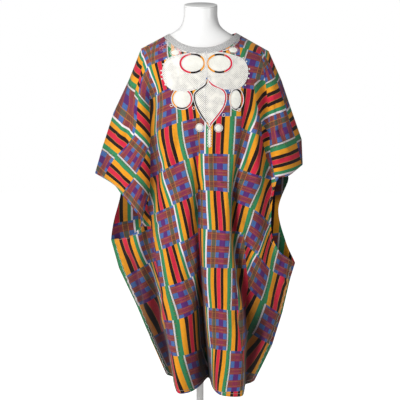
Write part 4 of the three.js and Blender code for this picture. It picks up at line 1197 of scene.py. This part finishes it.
def shrunk(outline, by):
    """A closed outline moved in by a distance along its own normals."""
    along = np.roll(outline, -1, axis=0) - np.roll(outline, 1, axis=0)
    across = unit(np.stack([-along[:, 1], along[:, 0]], axis=-1))
    turned = np.sign(((outline.mean(axis=0) - outline) * across).sum())
    return outline + by * turned * across


PATCH_RINGS = np.array([0.001, 0.2, 0.4, 0.58, 0.72, 0.84, 0.92, 0.97, 1.0, 1.01])
PATCH_ROUND = 3.5      # power of the crown's curve: the more, the flatter its top
PATCH_SINK = 0.4       # how far its edge goes into the cloth


def add_patch(name, cloth, centre, outline, stitch, lift, crown):
    """A padded patch: rings from its middle to its outline, its height a flat-topped crown over lift."""
    sides = outline.shape[0]
    if turns_back(outline):
        outline = outline[::-1]
    share = PATCH_RINGS
    rise = np.sqrt(np.clip(1 - share[:-1] ** PATCH_ROUND, 0, 1))
    height = np.append(lift + crown * rise, -PATCH_SINK)
    x = centre[0] + share[:, None] * (outline[None, :, 0] - centre[0])
    z = centre[1] + share[:, None] * (outline[None, :, 1] - centre[1])
    points = cloth.place(x, z, height[:, None])
    grid = np.concatenate([points.reshape(-1, 3), points[0].mean(axis=0)[None]])
    ring = np.arange(sides)
    fan = np.stack([np.full(sides, len(grid) - 1), ring, np.roll(ring, -1)], axis=-1)
    faces = [*grid_faces(len(share), sides, wrap=True), *fan]
    u = np.append(x.ravel(), centre[0]) * MM
    w = np.append(z.ravel(), centre[1]) * MM
    piece = make_object(name, grid, faces, surface(stitch), corner_uv(faces, u, w))
    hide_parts("embroidery_" + name)


def add_cloth_ring(name, cloth, outer, inner, lift, block_share, spread=0.42):
    """A strip of the print between two outlines, where the cloth shows between cords.

    It shows the middle of a block's height at block_share of its width, drawn together by spread.
    """
    if turns_back(outer):
        outer, inner = outer[::-1], inner[::-1]
    place = np.stack([outer, (outer + inner) / 2, inner])
    height = np.array([lift, lift + 0.1, lift])[:, None]
    points = cloth.place(place[..., 0], place[..., 1], height)
    faces = grid_faces(3, len(outer), wrap=True, flip=True)
    u = BLOCK_START[0] + block_share * BLOCK_WIDTH + spread * (place[..., 0] - outer[:, 0].mean())
    w = BLOCK_START[1] + 0.5 * BLOCK_HEIGHT + spread * (place[..., 1] - outer[:, 1].mean())
    piece = make_object(name, points, faces, surface("printed cotton"), corner_uv(faces, u * MM, w * MM))


TAPER = 0.55           # radius of an open line's ends, as a share of its own


def add_tubes(name, lines, stitch, sides=7):
    """Round sections carried along lines in space, in one piece.

    A line is (points of its axis, upward normals, closed, radius or radii). Each section is the circle
    of the normal and the cross product of the line's direction with it.
    """
    grids, faces, u_all, w_all, first = [], [], [], [], 0
    angle = 2 * np.pi * np.arange(sides) / sides
    for axis, up, closed, radius in lines:
        n = len(axis)
        ahead = np.roll(axis, -1, axis=0) - np.roll(axis, 1, axis=0)
        run = unit(ahead if closed else np.gradient(axis, axis=0))
        aside = unit(np.cross(run, up))
        radii = np.broadcast_to(radius, (n,)).copy()
        if not closed:
            radii[[0, -1]] *= TAPER
        outward = np.cross(aside, run)[:, None]
        ring = aside[:, None] * np.cos(angle)[:, None] + outward * np.sin(angle)[:, None]
        grids.append((axis[:, None] + radii[:, None, None] * ring).reshape(-1, 3))
        u_all.append(np.repeat(run_lengths(axis), sides))
        w_all.append(np.tile(angle, n))
        faces += list(grid_faces(n, sides, wrap=True) + first)
        index = first + np.arange(n * sides).reshape(n, sides)
        if closed:
            a, b = index[-1], index[0]
            faces += list(np.stack([a, b, np.roll(b, -1), np.roll(a, -1)], axis=-1))
        else:
            faces += [index[0], index[-1][::-1]]
        first += n * sides
    uv = corner_uv(faces, np.concatenate(u_all) * MM, np.concatenate(w_all) * MM)
    return make_object(name, np.concatenate(grids), faces, surface(stitch), uv)


def add_cords(name, cloth, lines, stitch="couched cord", sides=7):
    """Couched cords along lines on the face: a line is (places, closed, radius, lift of its axis)."""
    tubes = []
    for place, closed, radius, lift in lines:
        x, z = place.T
        tubes.append((cloth.place(x, z, lift), cloth.normal(x, z), closed, radius))
    add_tubes(name, tubes, stitch, sides)


BAND_WIDTH = 20.0
BACK_BAND_WIDTH = 16.0
BAND_ROW = 3.3
BAND_STITCH = 3.6
CORD = 1.25            # radius of the outline cords,
MIDDLE_CORD = 1.0      # of the ridge, the stem and the small ovals' rings,
LOOP_CORD = 0.9        # of the loops,
FINE_CORD = 0.8        # and of the lines inside the lobes and under the band
RING = 9.0             # from an oval's edge out to its outer cord
LOBE_LEFT = (
    (-22, 1241), (-48, 1238), (-74, 1239), (-100, 1249), (-114, 1271), (-119, 1300), (-112, 1325),
    (-94, 1343), (-66, 1350), (-38, 1356), (-8, 1359), (14, 1358), (19, 1330), (19, 1292), (12, 1258),
)
LOBE_RIGHT = (
    (66, 1247), (92, 1243), (118, 1245), (138, 1258), (150, 1280), (152, 1304), (145, 1326),
    (130, 1341), (104, 1350), (78, 1357), (50, 1360), (26, 1359), (21, 1330), (21, 1292), (34, 1266),
)
DROP = (
    (25, 1276), (42, 1259), (66, 1249), (81, 1235), (85, 1214), (77, 1186), (58, 1158), (40, 1136),
    (30, 1122), (20, 1136), (6, 1154), (-9, 1180), (-19, 1206), (-20, 1228), (-7, 1243), (14, 1258),
)
DROP_RIDGE = ((17, 1248), (16, 1205), (17, 1160), (22, 1140))
MIDDLE_LINE = ((20, 1362), (20, 1320), (21, 1278))      # between the two sides of the chest piece
SPURS = (
    (-122, 1288), (-123, 1301), (-121, 1275), (-117, 1322), (-107, 1338), (-110, 1257), (-90, 1241),
    (156, 1292), (157, 1306), (154, 1277), (148, 1330), (138, 1341), (144, 1256), (128, 1245),
    (-52, 1234), (94, 1238),
)
# Loops, the last two round the balls: x, z, radius and number of points.
SMALL_LOOPS = (
    (-20, 1184, 4.0, 24), (-91, 1192, 4.0, 24), (124, 1178, 4.5, 24), (75, 1162, 4.5, 24),
    (-1, 1122, 13.0, 40), (59, 1121, 13.0, 40),
)
# Padded pieces with a cord round them: side, x, z, half width and half height.
OVALS = (("left", -24, 1324, 33, 24), ("right", 62, 1324, 33, 23))
SMALL_OVALS = (("left", -79, 1358, 13, 8), ("right", 106, 1366, 13, 8))
DISCS = (("left", -57, 1213, 26, 26), ("right", 113, 1211, 15, 27))
BALLS = (("left", -1, 1122, 11, 11), ("right", 59, 1121, 11, 11))
# Under the drop: middle of the stem's patch, its half sizes, and top, foot and bows of its scallops.
STEM = (30, 1088)
STEM_SIZE = (3.5, 30)
SCALLOPS = (1120, 1060, 7)
# Lines that fan out under the neck band's ends: how far down they start, and the first one's places
# with the share of that distance that each place goes down.
LEFT_FAN = ((0, 4.5, 9), ((-112, 1398, 1.0), (-92, 1382, 1.0), (-68, 1369, 0.6), (-42, 1361, 0.3)))
RIGHT_FAN = ((0, 4.5), ((128, 1404, 1.0), (112, 1386, 1.0), (92, 1371, 0.5), (70, 1363, 0.3)))
FAN_LEAN = 0.2         # the left fan's lines also start farther in, by this share of the distance
ROSETTE = (-119, 1374)


def loop(x, z, radius, sides, cord, lift):
    """A round cord, as add_cords takes it."""
    return ellipse(x, z, radius, radius, sides), True, cord, lift


def add_embroidery(cloth):
    """The chest piece: chain-stitched lobes and drop, satin ovals and discs, and the cords round them."""
    for side, points, centre in (("left", LOBE_LEFT, (-48, 1294)), ("right", LOBE_RIGHT, (88, 1296))):
        edge = curve(points, closed=True, count=150)
        add_patch("lobe_" + side, cloth, centre, edge, "chain stitch", lift=0.2, crown=0.7)
        lines = [(edge, True, CORD, 0.5), (shrunk(edge, 4.0), True, FINE_CORD, 0.9)]
        add_cords("cord_lobe_" + side, cloth, lines)
    for side, x, z, w, h in OVALS:
        outer, inner = ellipse(x, z, w + RING, h + RING), ellipse(x, z, w, h)
        share = 0.62 if side == "left" else 0.36
        add_cloth_ring("cloth_ring_" + side, cloth, outer, inner, lift=1.15, block_share=share)
        add_patch("oval_" + side, cloth, (x, z), inner, "satin stitch", lift=1.1, crown=1.0)
        rings = [(ellipse(x, z, w + 1, h + 1), True, CORD, 1.3), (outer, True, CORD, 1.3)]
        add_cords("cord_oval_" + side, cloth, rings)
    for side, x, z, w, h in SMALL_OVALS:
        edge = ellipse(x, z, w, h)
        add_patch("small_oval_" + side, cloth, (x, z), edge, "satin stitch", lift=0.4, crown=1.0)
        cord = "couched cord" if side == "left" else "rose cord"
        ring = (ellipse(x, z, w + 3, h + 3), True, MIDDLE_CORD, 0.6)
        add_cords("cord_small_oval_" + side, cloth, [ring], cord)
    for side, x, z, w, h in DISCS:
        add_patch("disc_" + side, cloth, (x, z), ellipse(x, z, w, h), "satin stitch", lift=0.2, crown=1.2)
        shift = 0 if side == "left" else 3
        outer, inner = ellipse(x + shift, z, w + 7.5, h + 7.5), ellipse(x, z, w + 1, h + 1)
        add_cloth_ring("cloth_ring_disc_" + side, cloth, outer, inner, lift=0.3, block_share=0.36)
        rings = [(inner, True, CORD, 0.6), (outer, True, CORD, 0.6),
                 loop(x, z, 2.5, sides=16, cord=0.7, lift=1.5)]
        add_cords("cord_disc_" + side, cloth, rings)
    add_drop(cloth)
    for side, x, z, w, h in BALLS:
        edge = ellipse(x, z, w, h, sides=40)
        add_patch("ball_" + side, cloth, (x, z), edge, "satin stitch", lift=0.2, crown=3.0)
    loops = [loop(*row, cord=LOOP_CORD, lift=0.6) for row in SMALL_LOOPS]
    spurs = [loop(x, z, 1.6, sides=10, cord=1.2, lift=0.7) for x, z in SPURS]
    add_cords("cord_loops", cloth, loops + spurs, sides=6)
    add_stem(cloth)
    add_neck_lines(cloth)


def add_drop(cloth):
    """The drop between the lobes, its strip of print, its ridge, and the line between the lobes."""
    outer = curve(DROP, closed=True, count=150)
    inner = shrunk(outer, 6.5)
    add_cloth_ring("cloth_ring_drop", cloth, outer, inner, lift=0.3, block_share=0.43, spread=0.2)
    add_patch("drop", cloth, (31, 1205), inner, "chain stitch", lift=0.3, crown=0.9)
    ridge = curve(DROP_RIDGE, closed=False, count=40)
    middle = curve(MIDDLE_LINE, closed=False, count=30)
    lines = [(outer, True, CORD, 0.6), (inner, True, CORD, 0.8), (ridge, False, MIDDLE_CORD, 1.3),
             (middle, False, CORD, 1.4)]
    add_cords("cord_drop", cloth, lines)


def add_stem(cloth):
    """The scalloped chain under the drop: two lines of bows that cross, over a narrow satin patch."""
    x = STEM[0]
    top, foot, bows = SCALLOPS
    edge = ellipse(*STEM, *STEM_SIZE, sides=40)
    add_patch("stem", cloth, STEM, edge, "satin stitch", lift=0.2, crown=0.6)
    z = np.linspace(top, foot, 90)
    bow = 5.5 * np.abs(np.sin((top - z) / (top - foot) * bows * np.pi)) + 0.6
    lines = [(np.stack([x + side * bow, z], axis=-1), False, MIDDLE_CORD, 0.7) for side in (-1, 1)]
    lines.append((np.stack([np.full_like(z, x - 12), z + 6], axis=-1), False, LOOP_CORD, 0.5))
    add_cords("cord_stem", cloth, lines)


def add_neck_lines(cloth):
    """Chain lines that fan out under the neck band's ends, and the small rosette by the left shoulder."""
    lines = []
    for (drops, places), lean in ((LEFT_FAN, FAN_LEAN), (RIGHT_FAN, 0.0)):
        for drop in drops:
            line = np.array([(x, z - drop * share) for x, z, share in places])
            line[0, 0] += drop * lean
            lines.append((curve(line, closed=False, count=60), False, FINE_CORD, 0.6))
    add_cords("cord_neck_fan", cloth, lines)
    x, z = ROSETTE
    turns = np.arange(5) * 2 * math.pi / 5 + 0.3
    petals = [loop(x + 8 * math.cos(a), z + 8 * math.sin(a), 5, sides=20, cord=0.6, lift=0.4)
              for a in turns]
    petals.append(loop(x, z, 3, sides=16, cord=0.6, lift=0.4))
    add_cords("cord_rosette", cloth, petals, "rose cord")


# Across the neck band: shares of its width, and its height over the cloth at them.
BAND_SHARES = np.array([0.0, 0.05, 0.2, 0.4, 0.6, 0.8, 0.95, 1.0])
BAND_HEIGHTS = np.array([0.0, 1.2, 1.7, 1.9, 1.9, 1.7, 1.2, 0.0])
BAND_BEND = 0.8        # from this share of the half hole on, the band turns down along the shoulder
FOLD_WAY = (0.886, -0.464)     # that way, on the right side: x and z


def add_neck_trim(name, panel, node):
    """The band round the neck hole: from its edge outward, and over the shoulder folds at its ends."""
    t = 0.5 - 0.5 * np.cos(np.linspace(0, np.pi, 97))
    x = mix(NECK_LEFT[0], NECK_RIGHT[0], t)
    edge = np.stack([x, top_z(panel, x)], axis=-1)
    tangent = np.gradient(edge, axis=0)
    down = unit(np.stack([tangent[:, 1], -tangent[:, 0]], axis=-1))
    bend = smooth((np.abs(2 * t - 1) - BAND_BEND) / (1 - BAND_BEND))[:, None]
    fold = np.stack([np.sign(2 * t - 1 + 1e-9) * FOLD_WAY[0], np.full_like(t, FOLD_WAY[1])], axis=-1)
    away = unit(mix(down, fold, bend))
    width = BAND_WIDTH if panel.sign < 0 else BACK_BAND_WIDTH
    place = edge[None] + BAND_SHARES[:, None, None] * width * away[None]
    x, z = place[..., 0], np.minimum(place[..., 1], ridge_z(place[..., 0]))
    depth = EDGE_OFFSET + dome_depth(panel, x, z) + BAND_HEIGHTS[:, None]
    points = np.stack([x, panel.sign * depth, z], axis=-1)
    faces = grid_faces(len(BAND_SHARES), len(t), flip=panel.sign > 0)
    u = np.broadcast_to(run_lengths(edge), x.shape)
    w = np.broadcast_to(BAND_SHARES[:, None] * width, x.shape)
    piece = make_object(name, points, faces, surface("banded chain"), corner_uv(faces, u * MM, w * MM))
    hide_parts(node)


# ---- the form and its stand ----------------------------------------------------------------------
FORM_CENTRE_X = 2.0
# Height, half width, and depth forward and back.
FORM = (
    (786, 112, 66, 62), (800, 130, 76, 74), (860, 136, 82, 78), (960, 124, 82, 70), (1060, 128, 92, 74),
    (1180, 142, 104, 84), (1260, 164, 102, 86), (1320, 188, 98, 84), (1350, 194, 94, 80),
    (1368, 192, 91, 76), (1385, 163, 84, 72), (1400, 134, 78, 68), (1414, 107, 71, 64),
    (1428, 82, 65, 60), (1444, 65, 60, 57), (1464, 57, 57, 56), (1508, 54.5, 56, 56),
)
FORM_SQUARENESS = 2.3
FORM_SIDES = 96
FORM_STEP = 6.0
NECK_TILT = 0.2
NECK_TILT_FROM = 1440.0
SEAT_ROOM = 3.6        # from the cloth's outer face in to the solid form
LOOSE_ROOM = 5.2       # and to the one shown, which the cloth's mesh must not touch
# Radius and height of the neck's cap over the form's last ring.
CAP = ((0.01, 0.3), (52.5, 0.3), (54, 1.3), (54, 3.4), (52, 4.3), (0.01, 4.3))
# Radius and height of the stand's parts.
FOOT = (
    (0.01, 0), (167, 0), (170, 2), (170, 6), (167, 9), (48, 13), (24, 17), (24, 33), (22, 35),
    (0.01, 35),
)
POLE = ((0.01, 35.3), (12.5, 35.3), (12.5, 775.4), (0.01, 775.4))
FLANGE = ((0.01, 775.7), (40, 775.7), (42, 777.7), (42, 783.7), (40, 785.7), (0.01, 785.7))


def form_rings():
    """Rings of the form: squarish ovals through its table, held in under the cloth over the shoulders."""
    table = np.array(FORM, float)
    levels = np.unique(np.concatenate([np.arange(table[0, 0], table[-1, 0], FORM_STEP), table[:, 0]]))
    slopes = np.gradient(table[:, 1:], table[:, 0], axis=0)
    k = np.clip(np.searchsorted(table[:, 0], levels, side="right") - 1, 0, len(table) - 2)
    gap = (table[k + 1, 0] - table[k, 0])[:, None]
    q = (levels - table[k, 0])[:, None] / gap
    sizes = cubic(table[k, 1:], table[k + 1, 1:], gap * slopes[k], gap * slopes[k + 1], q)
    half, forward, rearward = sizes.T
    angle = 2 * np.pi * np.arange(FORM_SIDES) / FORM_SIDES
    across, along = (np.sign(part) * np.abs(part) ** (2 / FORM_SQUARENESS)
                     for part in (np.cos(angle), np.sin(angle)))
    fold_slope = (NECK_LEFT[1] - EDGE_TABLE[0, 1]) / (NECK_LEFT[0] - EDGE_TABLE[0, 0])
    under = SEAT_ROOM * math.hypot(1, fold_slope)
    reach = FORM_CENTRE_X - NECK_LEFT[0] + (NECK_LEFT[1] - under - levels) / fold_slope
    on_shoulder = (levels > EDGE_TABLE[0, 1] - 10) & (levels < NECK_LEFT[1] - 4)
    half = np.where(on_shoulder, np.minimum(half, reach), half)
    x = FORM_CENTRE_X + half[:, None] * across
    y = np.where(along < 0, forward[:, None], rearward[:, None]) * along
    z = np.broadcast_to(levels[:, None], x.shape)
    for panel in (FRONT, BACK):
        room = np.maximum(EDGE_OFFSET + dome_depth(panel, x, z) - LOOSE_ROOM, 0)
        held = (z > DOME_END) & (z < NECK_LEFT[1] - 2) & (y * panel.sign > 0)
        y = np.where(held, panel.sign * np.minimum(np.abs(y), room), y)
    tilt = NECK_TILT * smooth((levels - NECK_TILT_FROM) / (levels[-1] - NECK_TILT_FROM))
    return np.stack([x, y, z + tilt[:, None] * y], axis=-1)


def add_form():
    """The dress form's body and the disc that caps its neck."""
    low, top = FORM[0][0], FORM[-1][0]
    ends = [FORM_CENTRE_X, 0, low], [FORM_CENTRE_X, 0, top]
    body = add_capped("form_body", form_rings(), *ends, surface("white lacquer"))
    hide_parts("form_torso")
    profile = [(r, top + z) for r, z in CAP]
    cap = lathe("form_cap", profile, FORM_CENTRE_X, FORM_SIDES, surface("white lacquer"), tilt=NECK_TILT)
    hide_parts("form_neck_cap")


def add_stand():
    """The stand: a round foot with a collar, its pole, and the flange under the form."""
    for name, node, profile, sides in (
            ("stand_base", "stand_foot", FOOT, 96), ("stand_post", "stand_pole", POLE, 48),
            ("stand_plate", "stand_flange", FLANGE, 64)):
        piece = lathe(name, profile, 0.0, sides, surface("white enamel"))
        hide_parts(node)


# ---- the stage -----------------------------------------------------------------------------------
# The stage is in metres and degrees.
EYE = (0.0, -3.1, 1.35)
PITCH = 8.82
FIELD = 24.18
SENSOR = 36.0          # width of the camera's frame, in millimetres
FLOOR_HALF = 6.0
# Name of a light and of its power's setting, place, target and width.
LIGHTS = (
    ("front light", "front_light", (-2.1, -2.6, 2.7), (0, 0, 0.95), 1.1),
    ("side light", "side_light", (2.3, -2.0, 1.7), (0, 0, 0.9), 1.0),
)


def add_camera(eye, pitch, field):
    """A camera at the eye that looks along +y, tipped down by pitch."""
    data = bpy.data.cameras.new("camera")
    data.sensor_width = SENSOR
    data.lens = SENSOR / 2 / math.tan(math.radians(field / 2))
    camera = add_object("camera", data)
    camera.location = eye
    camera.rotation_euler = (math.radians(90 - pitch), 0, 0)
    bpy.context.scene.camera = camera


def add_light(name, place, target, size, power):
    """A square soft light at a place, turned to its target."""
    data = bpy.data.lights.new(name, "AREA")
    data.shape = "SQUARE"
    data.size = size
    data.energy = power
    light = add_object(name, data)
    light.location = place
    aim = np.array(target) - np.array(place)
    tip = math.atan2(math.hypot(aim[0], aim[1]), -aim[2])
    light.rotation_euler = (tip, 0, math.atan2(-aim[0], aim[1]))


def add_floor():
    """The pale floor, which also glows a little for the eye so that it fades into the surround."""
    material, n, shader = new_material("pale floor")
    place = n.add("ShaderNodeTexCoord").outputs["Object"]
    noise = n.noise(place, scale=3.0, detail=2.0).outputs["Fac"]
    n.fill(shader, {
        "Base Color": n.ramp(noise, [(0.3, grey(0.86)), (0.7, grey(0.9))]),
        "Roughness": 0.9,
        "Emission Color": n.math("MULTIPLY", n.add("ShaderNodeLightPath").outputs["Is Camera Ray"], 0.8),
        "Emission Strength": 1.0})
    mesh = bpy.data.meshes.new("floor")
    corners = [(x * FLOOR_HALF, y * FLOOR_HALF, 0) for x, y in ((-1, -1), (1, -1), (1, 1), (-1, 1))]
    mesh.from_pydata(corners, [], [(0, 1, 2, 3)])
    mesh.materials.append(material)
    add_object("floor", mesh)


def add_surround(strength):
    """A surround that lights the garment by its strength and looks white."""
    world = bpy.data.worlds.new("white surround")
    world.use_nodes = True
    n = Nodes(world.node_tree)
    seen = n.add("ShaderNodeLightPath").outputs["Is Camera Ray"]
    light = n.math("MULTIPLY_ADD", seen, 1.0 - strength, strength)
    n.fill(world.node_tree.nodes["Background"], {"Color": (1, 1, 1, 1), "Strength": light})
    bpy.context.scene.world = world
    bpy.context.scene.view_settings.view_transform = "Standard"


def add_stage(settings):
    """The floor, the white surround, the lights and the camera."""
    add_floor()
    add_surround(settings.surround)
    for name, power, place, target, size in LIGHTS:
        add_light(name, place, target, size, getattr(settings, power))
    add_camera(EYE, PITCH, FIELD)


# ---- the add-on ----------------------------------------------------------------------------------
def shade_property(name, description, code):
    """A colour setting for an ink, a thread or a finish."""
    return bpy.props.FloatVectorProperty(
        name=name, description=description, default=colour(code), size=4, subtype="COLOR", min=0.0,
        max=1.0)


def ink_property(name):
    """A colour setting for one ink of the print."""
    parts = "Colour of the print's " + name + " parts"
    return shade_property(name.capitalize() + " ink", parts, INKS[name])


def length_property(name, description, length):
    """A size setting, with its default in millimetres."""
    return bpy.props.FloatProperty(name=name, description=description, default=length * MM, unit="LENGTH")


def cut_property(name, description, size):
    """A setting for the width and length of a panel's cloth, in metres."""
    return bpy.props.FloatVectorProperty(
        name=name, description=description, size=2, default=size, unit="LENGTH")


def power_property(name, description, watts):
    """A setting for a light's power."""
    return bpy.props.FloatProperty(name=name, description=description, default=watts, unit="POWER")


class KaftanSettings(bpy.types.PropertyGroup):
    """Sizes and colours that a user would change."""
    front_cut: cut_property("Front cut", "Width and length of the front panel's shown cloth", (1.0, 1.2))
    back_cut: cut_property("Back cut", "Width and length of the back panel's shown cloth", (0.9, 1.2))
    cloth_thickness: length_property("Cloth thickness", "Thickness of the cotton", CLOTH_THICKNESS)
    crease_share: bpy.props.FloatProperty(
        name="Creases", description="Share of the creases' full height", default=1.35, min=0.0, max=2.0,
        subtype="FACTOR")
    block_width: length_property("Block width", "Width of one block of the print", BLOCK_WIDTH)
    block_height: length_property("Block height", "Height of one block of the print", BLOCK_HEIGHT)
    white: ink_property("white")
    green: ink_property("green")
    yellow: ink_property("yellow")
    black: ink_property("black")
    red: ink_property("red")
    gold: ink_property("gold")
    blue: ink_property("blue")
    olive: ink_property("olive")
    purple: ink_property("purple")
    maroon: ink_property("maroon")
    brown: ink_property("brown")
    plum: ink_property("plum")
    thread: shade_property("Chain stitch", "Colour of the chain-stitched fill", "#f4f1e8")
    satin: shade_property("Satin stitch", "Colour of the satin-stitched ovals and discs", "#f8f7ee")
    cord: shade_property("Cord", "Colour of the couched outline cords", "#f4f2f0")
    lacquer: shade_property("Form", "Colour of the dress form", "#fbfbfa")
    enamel: shade_property("Stand", "Colour of the stand", "#f2f2f0")
    front_light: power_property("Front light", "Power of the light before the garment", 121.0)
    side_light: power_property("Side light", "Power of the light at its right", 12.0)
    surround: bpy.props.FloatProperty(
        name="Surround", description="Strength of the light from all round", default=0.22, min=0.0,
        max=1.0, subtype="FACTOR")


class BuildCloth(bpy.types.Operator):
    """Build the front and back panels"""
    bl_idname = "kaftan.build_cloth"
    bl_label = "Cloth"

    def execute(self, context):
        settings = context.scene.kaftan
        add_cloth(settings, "front_cloth", FRONT, "front_panel")
        add_cloth(settings, "back_cloth", BACK, "back_panel")
        return {"FINISHED"}


class BuildNeck(bpy.types.Operator):
    """Build the neck trim and the embroidery"""
    bl_idname = "kaftan.build_neck"
    bl_label = "Neck trim and embroidery"

    def execute(self, context):
        cloth = ClothMap()
        add_neck_trim("neck_trim_front", FRONT, "neck_band_front")
        add_neck_trim("neck_trim_back", BACK, "neck_band_back")
        add_embroidery(cloth)
        return {"FINISHED"}


class BuildForm(bpy.types.Operator):
    """Build the dress form and its stand"""
    bl_idname = "kaftan.build_form"
    bl_label = "Form and stand"

    def execute(self, context):
        add_form()
        add_stand()
        return {"FINISHED"}


class BuildStage(bpy.types.Operator):
    """Build the floor, lights and camera"""
    bl_idname = "kaftan.build_stage"
    bl_label = "Stage"

    def execute(self, context):
        add_stage(context.scene.kaftan)
        return {"FINISHED"}


class KaftanPanel(bpy.types.Panel):
    """Lists the steps that build the kaftan"""
    bl_idname = "VIEW3D_PT_kaftan"
    bl_label = "Kaftan"
    bl_space_type = "VIEW_3D"
    bl_region_type = "UI"
    bl_category = "Kaftan"

    def draw(self, context):
        for operator in OPERATORS:
            self.layout.operator(operator.bl_idname)
        for name in KaftanSettings.__annotations__:
            self.layout.prop(context.scene.kaftan, name)


OPERATORS = (BuildCloth, BuildNeck, BuildForm, BuildStage)
CLASSES = (KaftanSettings, *OPERATORS, KaftanPanel)


def register():
    for cls in CLASSES:
        bpy.utils.register_class(cls)
    bpy.types.Scene.kaftan = bpy.props.PointerProperty(type=KaftanSettings)


def unregister():
    del bpy.types.Scene.kaftan
    for cls in reversed(CLASSES):
        bpy.utils.unregister_class(cls)


def main():
    register()
    for operator in OPERATORS:
        group, name = operator.bl_idname.split(".")
        getattr(getattr(bpy.ops, group), name)()


if __name__ == "__main__":
    main()
